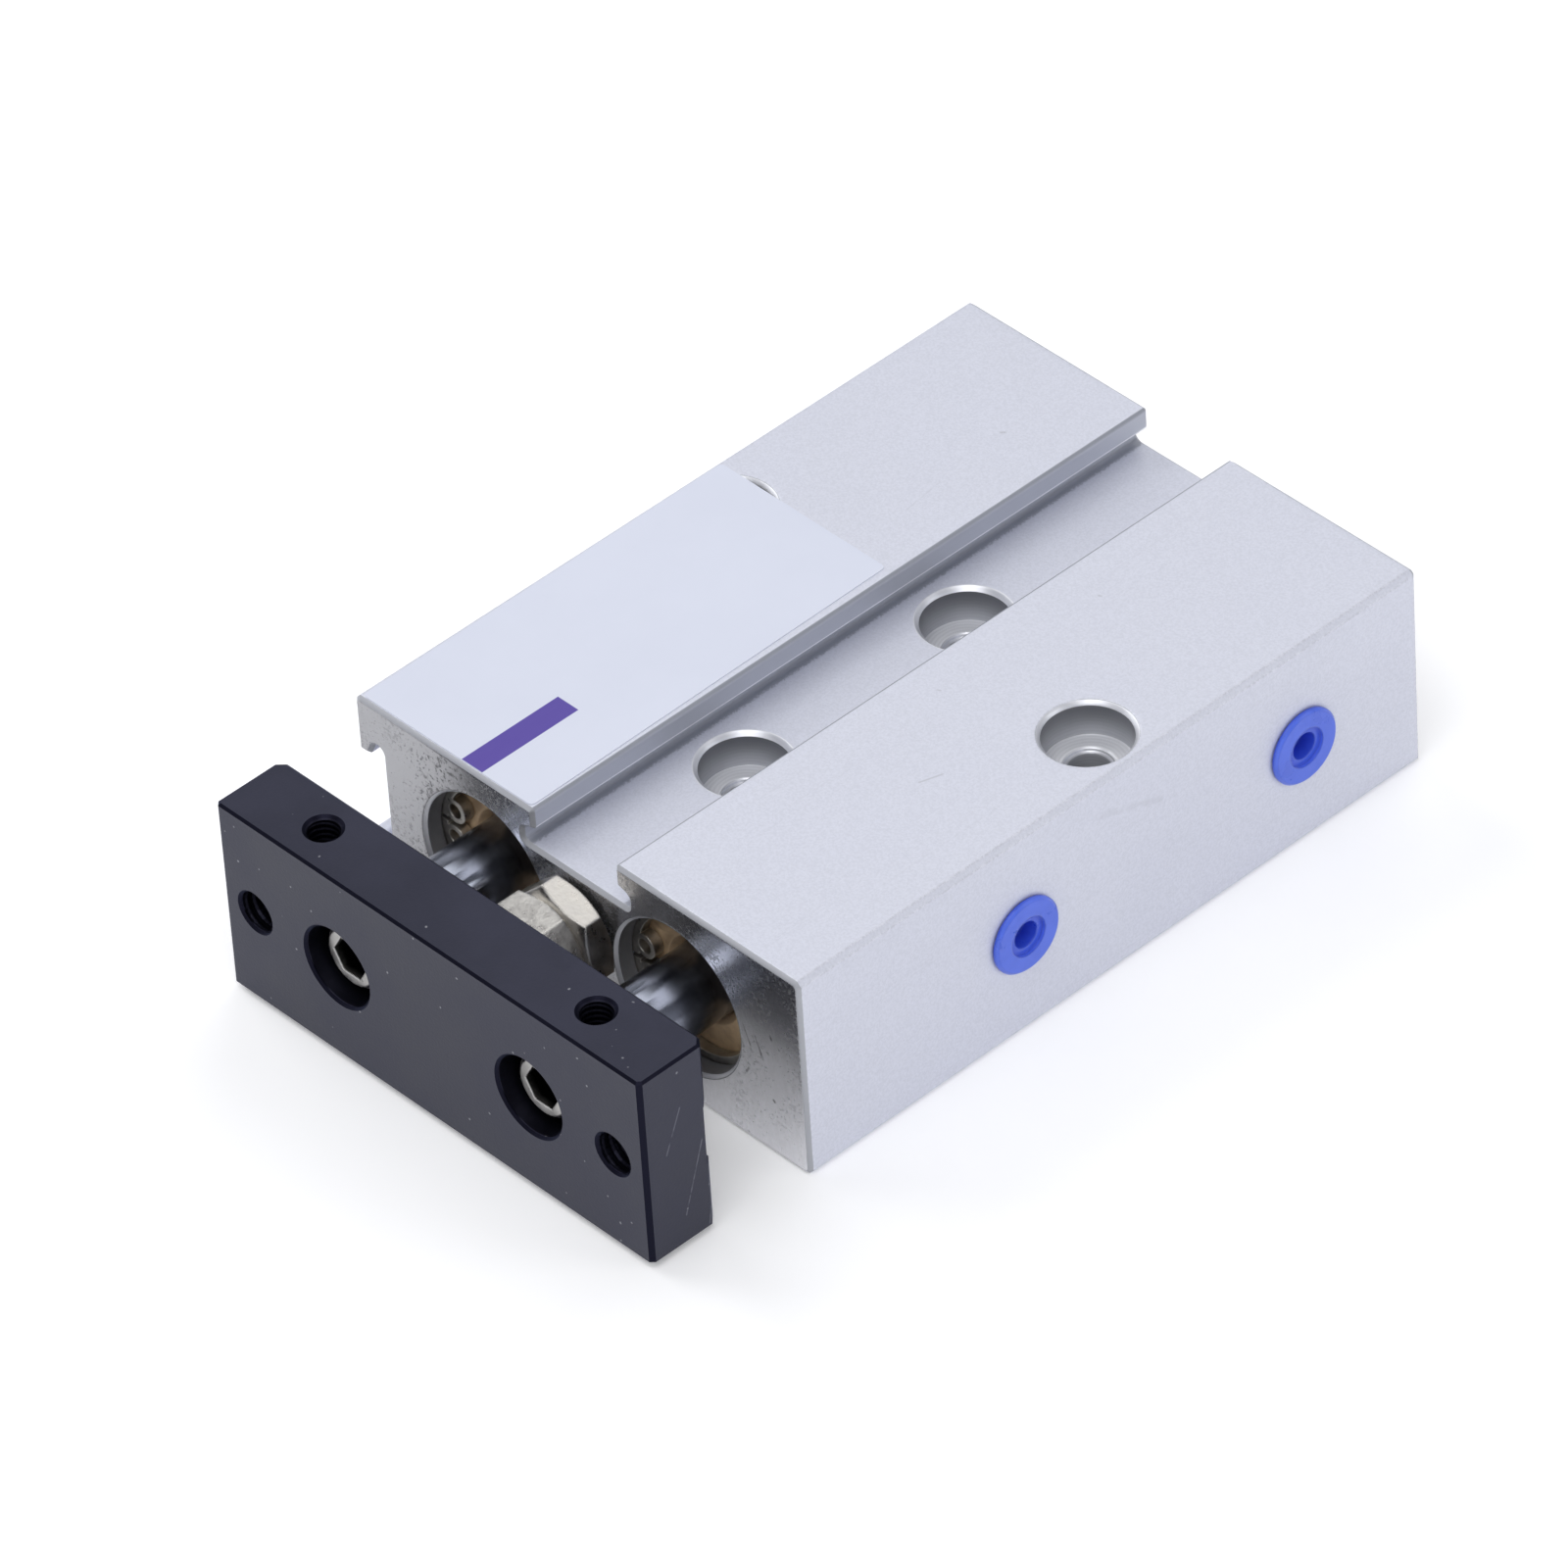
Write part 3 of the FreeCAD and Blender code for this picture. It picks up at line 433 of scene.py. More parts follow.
def finishBarrel():
    look = barrelFinish
    material, tree, shader, spot = newMaterial("barrelMetal")
    at = split(tree, spot["Object"])
    way = split(tree, spot["Normal"])
    endways = calc(tree, "ABSOLUTE", way["Y"])
    ends = between(tree, endways, *facing["end"])
    slanted = calc(tree, "SUBTRACT", between(tree, endways, *facing["endBevel"]), ends)
    level = between(tree, way["Z"], *facing["level"])
    sloping = calc(tree, "SUBTRACT", between(tree, way["Z"], *facing["slope"]), level)
    across = calc(tree, "ABSOLUTE", at["X"])
    inChannel = calc(tree, "LESS_THAN", across, look["channelHalf"])
    grain = useGroup(tree, fineGrain, Spot=spot["Object"], Grit_Scale=look["gritScale"],
                     Cloud_Scale=look["cloudScale"])
    edges = useGroup(tree, cornerWear,
                     Radius=blendValue(tree, inChannel, look["cornerRadius"], look["lipRadius"]))

    # where the drills and reamers cut: below the top, and inside the rod bores
    holeAway = nearestAxis(tree, spot["Object"], fromTop, look["holes"])
    mouth = blendValue(tree, inChannel, barrelTop, look["slotFloor"])
    depth = calc(tree, "SUBTRACT", mouth, at["Z"])
    deep = calc(tree, "GREATER_THAN", depth, look["holeStep"])
    cut = calc(tree, "LESS_THAN", holeAway, blendValue(tree, deep, look["holeReach"], look["drillReach"]))
    sunk = calc(tree, "LESS_THAN", at["Z"], barrelTop - look["flush"])
    boreAway = nearestAxis(tree, spot["Object"], fromFront, rodAxes)
    bored = calc(tree, "LESS_THAN", boreAway, look["boreReach"])
    turned = calc(tree, "MAXIMUM", times(tree, cut, sunk), bored)
    along = blendValue(tree, bored, blendValue(tree, level, at["Z"], holeAway), at["Y"])
    rings = useGroup(tree, turningMarks, Spot=spot["Object"], Along=along, Pitch=look["ringPitch"])["Height"]
    chamfer = blendValue(tree, bored, sloping, slanted)
    # painted shade and light in the holes: walls darker near the mouth, level shelves lighter, rod-bore
    # walls dark
    lit = between(tree, depth, *look["wallShadeFade"])
    turnedMetal = blendColour(tree, lit, look["turnedShadeAndRings"], look["turned"])
    turnedMetal = blendColour(tree, level, turnedMetal, look["shelfLight"])
    turnedMetal = blendColour(tree, bored, turnedMetal, look["bored"])
    turnedMetal = layOver(tree, turnedMetal, chamfer, look["chamferShare"], look["worn"])
    turnedMetal = layOver(tree, turnedMetal, rings, look["ringShare"], look["turnedShadeAndRings"])

    # blasted skin with faint drawn lines
    drawn = vectorCalc(tree, "MULTIPLY", spot["Object"], look["lineStretch"])[0]
    lines = useGroup(tree, scratches, Spot=drawn, Width=look["lineWidth"], Share=look["lineCover"])["Mask"]
    chips = useGroup(tree, specks, Spot=spot["Object"], Scale=look["chipScale"], Share=look["chipCover"],
                     Size=look["chipSize"])["Mask"]
    gritty = between(tree, grain["Grit"], *look["gritSpread"])
    blasted = blendColour(tree, gritty, look["blastedDark"], look["blasted"])
    blasted = layOver(tree, blasted, lines, look["lineShare"], look["drawnLine"])
    blasted = layOver(tree, blasted, chips, look["chipShare"], look["chip"])
    blasted = drawMarks(tree, spot["Object"], blasted, look["rubs"], look["drawnLine"])

    # the slot's lip walls: painted shade, darker than the blasted skin and darker still on the round that
    # faces up, with a painted highlight along the lower edge
    inSlot = calc(tree, "LESS_THAN", across, look["slotHalf"])
    upright = between(tree, calc(tree, "ABSOLUTE", way["X"]), *facing["upright"])
    offFloor = calc(tree, "GREATER_THAN", at["Z"], look["slotFloor"] + look["wallStart"])
    walls = times(tree, inSlot, upright, offFloor)
    lipTop = between(tree, way["Z"], *facing["lipTop"])
    slotPaintedLight = blendColour(tree, lipTop, look["slotWallShade"], look["lipRoundShade"])
    # painted highlight: a bright band along the lip wall's lower edge
    rise = calc(tree, "SUBTRACT", at["Z"], look["lipLow"])
    onLip = calc(tree, "GREATER_THAN", rise, -look["lipUnder"])
    lipHighlight = times(tree, between(tree, rise, *look["lipHighlight"]), onLip)
    slotPaintedLight = blendColour(tree, lipHighlight, slotPaintedLight, look["worn"])

    # painted shade in the slot's inner corners under the lips, near the floor, ragged by the grit
    nearFloor = calc(tree, "LESS_THAN", at["Z"], look["slotFloor"] + look["slotShadeHigh"])
    ragged = calc(tree, "MULTIPLY_ADD", grain["Grit"], look["slotShadeRagged"], across)
    slotShaded = times(tree, inChannel, nearFloor, between(tree, ragged, *look["slotShadeFrom"]))
    blasted = layOver(tree, blasted, slotShaded, look["slotShadeShare"], look["slotCornerShade"])
    blasted = blendColour(tree, walls, blasted, slotPaintedLight)

    # bright broken corners, and the dark bevels round the ends
    bright = between(tree, grain["Grit"], *look["sparkle"])
    sparkle = blendColour(tree, bright, look["drawnLine"], look["worn"])
    corners = times(tree, edges["Mask"], calc(tree, "SUBTRACT", 1.0, walls))
    blasted = layOver(tree, blasted, corners, look["cornerShare"], sparkle)
    blasted = layOver(tree, blasted, slanted, look["bevelShare"], look["bevel"])

    # faced ends: uneven enough to break up what they mirror, with pits
    faceSpot = vectorCalc(tree, "MULTIPLY", spot["Object"], look["facedStretch"])[0]
    uneven = useGroup(tree, fineGrain, Spot=faceSpot, Grit_Scale=look["facedScale"])["Grit"]
    pits = useGroup(tree, pitting, Spot=spot["Object"], Scale=look["pitScale"],
                    Cover=look["pitCover"])["Mask"]
    faced = blendColour(tree, between(tree, uneven, *look["facedSpread"]), look["facedDark"], look["faced"])
    # painted shade: the faced ends get darker towards the left
    shadedLeft = between(tree, at["X"], *look["facedShadeFrom"])
    faced = layOver(tree, faced, shadedLeft, look["facedShadeShare"], look["facedShade"])
    crowd = times(tree, between(tree, at["X"], *look["pitsFade"]), between(tree, at["X"], *look["pitsFrom"]))
    shown = times(tree, pits, blendValue(tree, crowd, look["pitsLeast"], 1.0))
    faced = layOver(tree, faced, shown, look["pitShare"], look["pit"])
    faced = drawMarks(tree, spot["Object"], faced, look["nicks"], look["pit"])

    # the three kinds of surface put together
    colour = blendColour(tree, ends, blasted, faced)
    colour = blendColour(tree, turned, colour, turnedMetal)
    skinHeight = calc(tree, "SUBTRACT", grain["Grit"], times(tree, chips, look["chipDepth"]))
    faceHeight = calc(tree, "SUBTRACT", times(tree, uneven, look["facedDepth"]),
                      times(tree, shown, look["pitDepth"]))
    height = blendValue(tree, ends, skinHeight, faceHeight)
    height = blendValue(tree, turned, height, times(tree, rings, look["ringDepth"]))
    skinRough = blendValue(tree, grain["Cloud"], *look["skinRough"])
    rough = blendValue(tree, ends, skinRough, blendValue(tree, pits, *look["facedRough"]))
    rough = blendValue(tree, turned, rough, look["turnedRough"])
    metal = blendValue(tree, ends, look["skinMetal"], look["facedMetal"])
    metal = blendValue(tree, turned, metal, blendValue(tree, chamfer, *look["turnedMetal"]))
    setShader(tree, shader, Base_Color=colour, Metallic=metal, Roughness=rough,
              Normal=bump(tree, height, look["gritDepth"], edges["Normal"]))
    dress(material, "barrel_body")


finishBarrel()
print("barrel finished")


def finishMetal(name, pieces, look):
    # plain metal: cloudy shade and tarnish spots, and with a corner colour, grit and bright corners
    material, tree, shader, spot = newMaterial(name)
    grain = useGroup(tree, fineGrain, Spot=spot["Object"], Grit_Scale=look["gritScale"],
                     Cloud_Scale=look["cloudScale"])
    spots = useGroup(tree, specks, Spot=spot["Object"], Scale=look["spotScale"], Share=look["spotCover"],
                     Size=look["spotSize"])["Mask"]
    colour = blendColour(tree, grain["Cloud"], look["dark"], look["light"])
    colour = layOver(tree, colour, spots, look["spotShare"], look["spot"])
    if "corner" in look:
        edges = useGroup(tree, cornerWear, Radius=look["cornerRadius"])
        colour = layOver(tree, colour, edges["Mask"], look["cornerShare"], look["corner"])
        setShader(tree, shader, Normal=bump(tree, grain["Grit"], look["gritDepth"], edges["Normal"]))
    if "socket" in look:
        # painted shade: the key socket's inside goes dark behind the head's face
        away = nearestAxis(tree, spot["Object"], fromFront, rodAxes)
        inside = calc(tree, "LESS_THAN", away, look["socketReach"])
        behind = calc(tree, "SUBTRACT", split(tree, spot["Object"])["Y"], look["headFace"])
        sunk = times(tree, inside, between(tree, behind, *look["socketFade"]))
        colour = blendColour(tree, sunk, colour, look["socket"])
    if "shade" in look:
        # painted shadow up and to the right of each rod, on the bush's face
        away = nearestAxis(tree, spot["Object"], fromFront, look["shadeAt"])
        rodShadow = between(tree, away, *look["shadeReach"])
        colour = layOver(tree, colour, rodShadow, look["shadeShare"], look["shade"])
    if "drawOut" in look:
        # ground round its axis, so light draws out along it
        setShader(tree, shader, Anisotropic=look["drawOut"], Anisotropic_Rotation=look["drawTurn"],
                  Tangent=place(tree, "ShaderNodeTangent", direction_type="RADIAL", axis="Y").outputs[0])
    setShader(tree, shader, Base_Color=colour, Metallic=look["metal"],
              Roughness=blendValue(tree, grain["Cloud"], look["smooth"], look["rough"]))
    dress(material, *pieces)


plainMetal = {"metal": 1.0, "gritScale": 4000.0, "gritDepth": 0.008 * mm, "spotSize": 0.22, "spotShare": 0.6}
rodFinish = {
    **plainMetal, "dark": (0.29, 0.31, 0.37, 1), "light": (0.32, 0.34, 0.40, 1), "cloudScale": 120.0,
    "spot": (0.20, 0.20, 0.22, 1), "spotScale": 900.0, "spotCover": 0.02,
    "smooth": 0.13, "rough": 0.14, "drawOut": 1.0, "drawTurn": 0.25,
}
bushFinish = {
    **plainMetal, "dark": (0.74, 0.51, 0.30, 1), "light": (0.93, 0.68, 0.42, 1), "cloudScale": 900.0,
    "spot": (0.12, 0.08, 0.04, 1), "spotScale": 1500.0, "spotCover": 0.15,
    "corner": (0.95, 0.76, 0.50, 1), "cornerRadius": 0.2 * mm, "cornerShare": 0.4,
    "smooth": 0.38, "rough": 0.5, "metal": 0.4,
    "shade": (0.07, 0.055, 0.045, 1), "shadeAt": inMetres((-6.8, 0, 12.0), (13.2, 0, 12.0)),
    "shadeReach": (4.4 * mm, 3.0 * mm), "shadeShare": 0.9,
}
clipFinish = {
    **plainMetal, "dark": (0.40, 0.385, 0.35, 1), "light": (0.58, 0.56, 0.52, 1), "cloudScale": 700.0,
    "spot": (0.10, 0.09, 0.08, 1), "spotScale": 1700.0, "spotCover": 0.2,
    "corner": (0.78, 0.76, 0.71, 1), "cornerRadius": 0.15 * mm, "cornerShare": 0.55,
    "smooth": 0.32, "rough": 0.48,
}
stopperFinish = {
    **plainMetal, "dark": (0.44, 0.42, 0.39, 1), "light": (0.56, 0.54, 0.51, 1), "cloudScale": 900.0,
    "spot": (0.16, 0.15, 0.13, 1), "spotScale": 1900.0, "spotCover": 0.16,
    "corner": (0.80, 0.78, 0.73, 1), "cornerRadius": 0.3 * mm, "cornerShare": 0.5,
    "smooth": 0.26, "rough": 0.38, "gritScale": 2800.0, "gritDepth": 0.022 * mm,
}
nutFinish = {**stopperFinish, "dark": (0.57, 0.55, 0.52, 1), "light": (0.72, 0.70, 0.66, 1)}
screwFinish = {
    **plainMetal, "dark": (0.42, 0.41, 0.395, 1), "light": (0.58, 0.57, 0.55, 1), "cloudScale": 500.0,
    "spot": (0.12, 0.12, 0.12, 1), "spotScale": 1500.0, "spotCover": 0.16,
    "corner": (0.85, 0.84, 0.82, 1), "cornerRadius": 0.2 * mm, "cornerShare": 0.6,
    "smooth": 0.28, "rough": 0.42,
    "socket": (0.015, 0.015, 0.016, 1), "socketReach": 1.85 * mm, "socketFade": (0.05 * mm, 0.7 * mm),
    "headFace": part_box("left_plate_screw")[0].y,
}
capFinish = {
    **plainMetal, "dark": (0.54, 0.54, 0.56, 1), "light": (0.66, 0.66, 0.68, 1), "cloudScale": 500.0,
    "spot": (0.2, 0.2, 0.2, 1), "spotScale": 1400.0, "spotCover": 0.08,
    "corner": (0.86, 0.86, 0.88, 1), "cornerRadius": 0.2 * mm, "cornerShare": 0.5,
    "smooth": 0.32, "rough": 0.44, "metal": 0.95,
}


def onBoth(*pieces):
    return [f"{side}_{piece}" for side in both for piece in pieces]


finishMetal("rodChrome", onBoth("piston_rod"), rodFinish)
finishMetal("bushBrass", onBoth("rod_bush"), bushFinish)
finishMetal("clipSteel", onBoth("front_circlip", "rear_circlip"), clipFinish)
finishMetal("stopperNickel", ["stopper_bolt"], stopperFinish)
finishMetal("nutNickel", ["stopper_lock_nut"], nutFinish)
finishMetal("screwSteel", onBoth("plate_screw", "piston_nut"), screwFinish)
finishMetal("capMetal", onBoth("rear_cap", "piston"), capFinish)
print("metal pieces finished")


# end plate: black anodised, with pale dust and a few handling scratches
plateFinish = {
    "black": (0.012, 0.012, 0.026, 1),
    "pale": (0.018, 0.018, 0.036, 1),
    "sheen": (0.75, 0.79, 0.95, 1),
    "smooth": 0.40,
    "rough": 0.48,
    "gritScale": 4200.0,
    "gritDepth": 0.012 * mm,
    "cloudScale": 120.0,
    "bevel": (0.012, 0.012, 0.022, 1),
    "bevelTurn": (0.95, 0.85),
    "dust": (0.45, 0.45, 0.48, 1),
    "dustScale": 900.0,
    "dustCover": 0.3,
    "dustSize": 0.11,
    "dustShare": 0.55,
    "scratch": (0.12, 0.12, 0.15, 1),
    # start, stop and width of each scratch in mm, and its strength
    "scratches": (
        ((22, -39.2, 10.4), (22, -41.6, 3.1), 0.09, 0.8),
        ((22, -41.5, 13.1), (22, -43.0, 9.6), 0.09, 0.8),
        ((22, -39.3, 2.4), (22, -39.5, 0.9), 0.09, 0.8),
    ),
    # insides of the tapped holes and of the holes that the screw heads are sunk in
    "hole": (0.020, 0.020, 0.032, 1),
    "frontTapReach": 1.9 * mm,
    "topTapReach": 1.5 * mm,
    "headReach": 3.6 * mm,
    "frontDepth": 0.3 * mm,
    "topDepth": 0.2 * mm,
}
# mouths of the plate's tapped holes
plateMiddle = (plateLow.z + plateHigh.z) / 2
frontTaps = [Vector((across * mm, plateLow.y, plateMiddle)) for across in (-18.65, 18.65)]
topTaps = [Vector((across * mm, plateLow.y + 3.35 * mm, plateHigh.z)) for across in (-14.15, 14.15)]


def finishPlate():
    look = plateFinish
    material, tree, shader, spot = newMaterial("plateBlack")
    at = split(tree, spot["Object"])
    way = split(tree, vectorCalc(tree, "ABSOLUTE", spot["Normal"])[0])
    grain = useGroup(tree, fineGrain, Spot=spot["Object"], Grit_Scale=look["gritScale"],
                     Cloud_Scale=look["cloudScale"])
    dust = useGroup(tree, specks, Spot=spot["Object"], Scale=look["dustScale"], Share=look["dustCover"],
                    Size=look["dustSize"])["Mask"]
    squarest = calc(tree, "MAXIMUM", calc(tree, "MAXIMUM", way["X"], way["Y"]), way["Z"])
    slanted = between(tree, squarest, *look["bevelTurn"])
    inHole = {}
    for hole, seen, axes in (("frontTap", fromFront, frontTaps), ("head", fromFront, rodAxes),
                             ("topTap", fromTop, topTaps)):
        away = nearestAxis(tree, spot["Object"], seen, axes)
        inHole[hole] = calc(tree, "LESS_THAN", away, look[hole + "Reach"])
    behindFront = calc(tree, "GREATER_THAN", at["Y"], plateLow.y + look["frontDepth"])
    belowTop = calc(tree, "LESS_THAN", at["Z"], plateHigh.z - look["topDepth"])
    sunk = times(tree, calc(tree, "MAXIMUM", inHole["frontTap"], inHole["head"]), behindFront)
    sunk = calc(tree, "MAXIMUM", sunk, times(tree, inHole["topTap"], belowTop))
    colour = blendColour(tree, grain["Cloud"], look["black"], look["pale"])
    colour = drawMarks(tree, spot["Object"], colour, look["scratches"], look["scratch"])
    colour = layOver(tree, colour, dust, look["dustShare"], look["dust"])
    colour = blendColour(tree, slanted, colour, look["bevel"])
    colour = blendColour(tree, sunk, colour, look["hole"])
    setShader(tree, shader, Base_Color=colour, Specular_Tint=look["sheen"],
              Metallic=calc(tree, "MAXIMUM", slanted, sunk),
              Roughness=blendValue(tree, grain["Cloud"], look["smooth"], look["rough"]),
              Normal=bump(tree, grain["Grit"], look["gritDepth"]))
    dress(material, "end_plate")
    return material


plateBlack = finishPlate()
print("plate finished")


# screw threads in the plate's tapped holes, lengths in mm
threadCut = {
    "front": {"radius": 1.65, "depth": 0.11, "pitch": 0.7, "begin": 0.35, "end": 6.0},
    "top": {"radius": 1.25, "depth": 0.085, "pitch": 0.5, "begin": 0.35, "end": 5.2},
    "stepsPerTurn": 24,
    "runIn": 1.5,  # the ridge rises to its full depth in 1 / runIn turns, at both ends
    "footSunk": 0.05,  # how deep the foot and the faded crest lie in the wall
    "crestSunk": 0.02,
    "footHalf": 0.48,  # half widths of the ridge, in pitches
    "crestHalf": 0.06,
}


def addPiece(name, mesh, material):
    bmesh.ops.recalc_face_normals(mesh, faces=mesh.faces)
    data = bpy.data.meshes.new(name)
    mesh.to_mesh(data)
    mesh.free()
    data.materials.append(material)
    piece = bpy.data.objects.new(name, data)
    scene.collection.objects.link(piece)
    return piece


def makeThread(name, mouth, inward, cut):
    # one ridge that winds from the hole's mouth to its end, its foot sunk in the wall
    sideways = Vector((1, 0, 0))
    third = inward.cross(sideways)
    turns = (cut["end"] - cut["begin"]) / cut["pitch"]
    steps = round(turns * threadCut["stepsPerTurn"])
    gain = threadCut["runIn"] * turns / steps
    foot = cut["radius"] + threadCut["footSunk"]
    mesh = bmesh.new()
    loops = []
    for step in range(steps + 1):
        angle = 2 * math.pi * step / threadCut["stepsPerTurn"]
        along = cut["begin"] + cut["pitch"] * step / threadCut["stepsPerTurn"]
        fade = min(1.0, gain * step, gain * (steps - step))
        crest = cut["radius"] + threadCut["crestSunk"] - cut["depth"] * fade
        outward = sideways * math.cos(angle) + third * math.sin(angle)
        section = ((foot, -threadCut["footHalf"]), (crest, -threadCut["crestHalf"]),
                   (crest, threadCut["crestHalf"]), (foot, threadCut["footHalf"]))
        loop = []
        for reach, shift in section:
            point = outward * reach + inward * (along + shift * cut["pitch"])
            loop.append(mesh.verts.new(mouth + point * mm))
        loops.append(loop)
    for first, second in zip(loops, loops[1:]):
        for corner in range(4):
            following = (corner + 1) % 4
            mesh.faces.new((first[corner], first[following], second[following], second[corner]))
    mesh.faces.new(loops[0])
    mesh.faces.new(loops[-1])
    ridge = addPiece(name, mesh, plateBlack)
    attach(ridge, "carriage")


for side, frontTap, topTap in zip(both, frontTaps, topTaps):
    makeThread(f"{side}_front_thread", frontTap, Vector((0, 1, 0)), threadCut["front"])
    makeThread(f"{side}_top_thread", topTap, Vector((0, 0, -1)), threadCut["top"])
print("threads cut")


def finishMoulded(name, pieces, look):
    # rubber and plastic: soft cloud, fine grit, worn corners
    material, tree, shader, spot = newMaterial(name)
    grain = useGroup(tree, fineGrain, Spot=spot["Object"], Grit_Scale=look["gritScale"],
                     Cloud_Scale=look["cloudScale"])
    edges = useGroup(tree, cornerWear, Radius=look["cornerRadius"])
    colour = blendColour(tree, grain["Cloud"], look["dark"], look["light"])
    colour = layOver(tree, colour, edges["Mask"], look["cornerShare"], look["corner"])
    if "dish" in look:
        # painted shade: the hollow behind the plug's face is darker
        behind = calc(tree, "SUBTRACT", look["face"], split(tree, spot["Object"])["X"])
        colour = blendColour(tree, between(tree, behind, *look["dishFade"]), colour, look["dish"])
    setShader(tree, shader, Base_Color=colour,
              Roughness=blendValue(tree, grain["Cloud"], look["smooth"], look["rough"]),
              Normal=bump(tree, grain["Grit"], look["gritDepth"], edges["Normal"]))
    dress(material, *pieces)


plainMoulded = {"gritScale": 4000.0, "cloudScale": 400.0, "cornerRadius": 0.2 * mm, "cornerShare": 0.3}
plugFinish = {
    **plainMoulded, "dark": (0.075, 0.15, 0.78, 1), "light": (0.095, 0.18, 0.86, 1),
    "corner": (0.05, 0.09, 0.55, 1), "cornerShare": 0.5,
    "dish": (0.050, 0.110, 0.72, 1), "dishFade": (0.15 * mm, 0.35 * mm),
    "face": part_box("front_port_plug")[1].x,
    "smooth": 0.26, "rough": 0.34, "gritScale": 3000.0, "gritDepth": 0.004 * mm,
}
sealFinish = {
    **plainMoulded, "dark": (0.02, 0.02, 0.02, 1), "light": (0.04, 0.04, 0.04, 1),
    "corner": (0.06, 0.06, 0.06, 1), "smooth": 0.5, "rough": 0.65, "gritDepth": 0.006 * mm,
}
bumperFinish = {
    **plainMoulded, "dark": (0.16, 0.13, 0.05, 1), "light": (0.24, 0.20, 0.09, 1),
    "corner": (0.3, 0.26, 0.14, 1), "smooth": 0.45, "rough": 0.6, "gritDepth": 0.005 * mm,
}
magnetFinish = {
    **plainMoulded, "dark": (0.04, 0.04, 0.04, 1), "light": (0.08, 0.08, 0.08, 1),
    "corner": (0.12, 0.12, 0.12, 1), "smooth": 0.55, "rough": 0.7, "gritDepth": 0.01 * mm,
}
finishMoulded("plugBlue", ["front_port_plug", "rear_port_plug"], plugFinish)
finishMoulded("sealRubber", onBoth("rod_seal", "bush_o_ring", "rear_cap_o_ring", "piston_seal"), sealFinish)
finishMoulded("bumperRubber", onBoth("front_bumper", "rear_bumper"), bumperFinish)
finishMoulded("magnetFerrite", onBoth("magnet_ring"), magnetFinish)
print("moulded pieces finished")


# label: a bare white film on the left half of the top, with one plain colour band
label = {
    # corners of the film and of the band in mm
    "corners": ((-22.42, -30.40), (-4.64, -30.40), (-5.20, 4.98), (-22.50, 5.03)),
    "bandLow": (-12.0, -30.35),
    "bandHigh": (-9.85, -21.0),
    "bandSoft": 0.03,
    "rounding": 0.45,
    "roundSteps": 6,
    "thickness": 0.06 * mm,
    "lift": 0.005 * mm,
    "white": (0.72, 0.75, 0.86, 1),
    "shaded": (0.64, 0.67, 0.78, 1),
    "shadeShare": 0.35,
    "band": (0.10, 0.065, 0.36, 1),
    "gritScale": 2600.0,
    "gritDepth": 0.003 * mm,
    "cloudScale": 60.0,
    "smooth": 0.34,
    "rough": 0.42,
}


def finishLabel():
    material, tree, shader, spot = newMaterial("labelFilm")
    grain = useGroup(tree, fineGrain, Spot=spot["Object"], Grit_Scale=label["gritScale"],
                     Cloud_Scale=label["cloudScale"])
    at = split(tree, spot["Object"])
    soft = label["bandSoft"]
    inBand = 1.0
    for axis, low, high in zip("XY", label["bandLow"], label["bandHigh"]):
        pastLow = between(tree, at[axis], (low - soft) * mm, (low + soft) * mm)
        shortOfHigh = between(tree, at[axis], (high + soft) * mm, (high - soft) * mm)
        inBand = times(tree, inBand, pastLow, shortOfHigh)
    colour = layOver(tree, label["white"], grain["Cloud"], label["shadeShare"], label["shaded"])
    setShader(tree, shader, Base_Color=blendColour(tree, inBand, colour, label["band"]),
              Roughness=blendValue(tree, grain["Cloud"], label["smooth"], label["rough"]),
              Normal=bump(tree, grain["Grit"], label["gritDepth"]))
    return material


def makeLabel():
    corners = [Vector(corner) for corner in label["corners"]]
    mesh = bmesh.new()
    rim = []
    for turn, corner in enumerate(corners):
        before = corner + (corners[turn - 1] - corner).normalized() * label["rounding"]
        after = corner + (corners[(turn + 1) % 4] - corner).normalized() * label["rounding"]
        for step in range(label["roundSteps"] + 1):
            part = step / label["roundSteps"]
            edge = before.lerp(corner, part).lerp(corner.lerp(after, part), part)
            rim.append(mesh.verts.new((edge.x * mm, edge.y * mm, 0)))
    raised = bmesh.ops.extrude_face_region(mesh, geom=[mesh.faces.new(rim)])["geom"]
    upper = [vert for vert in raised if isinstance(vert, bmesh.types.BMVert)]
    bmesh.ops.translate(mesh, verts=upper, vec=(0, 0, label["thickness"]))
    film = addPiece("top_label", mesh, finishLabel())
    film.location = (0, 0, barrelTop + label["lift"])
    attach(film, "barrel")


makeLabel()
print("label made")


# studio: pale floor, soft lamps, grey surroundings
studio = {
    "floor": (0.93, 0.93, 0.94, 1),
    "floorSize": 6.0,
    "floorGap": 0.02 * mm,
    "floorRough": 0.9,
    "floorGlow": 0.22,
    "horizon": (0.52, 0.53, 0.56, 1),
    "zenith": (0.18, 0.185, 0.20, 1),
    "skyFade": (0.15, 0.8),
    # place, size and power of each lamp
    "lamps": {
        "leftLamp": ((-0.75, -0.15, 0.65), 0.7, 3.8),
        "frontLamp": ((0.25, -0.40, 0.88), 0.7, 4.2),
        "topLamp": ((-0.23, 0.50, 0.83), 0.55, 1.7),
        "sideLamp": ((0.77, 0.50, 0.42), 0.45, 1.3),
    },
}


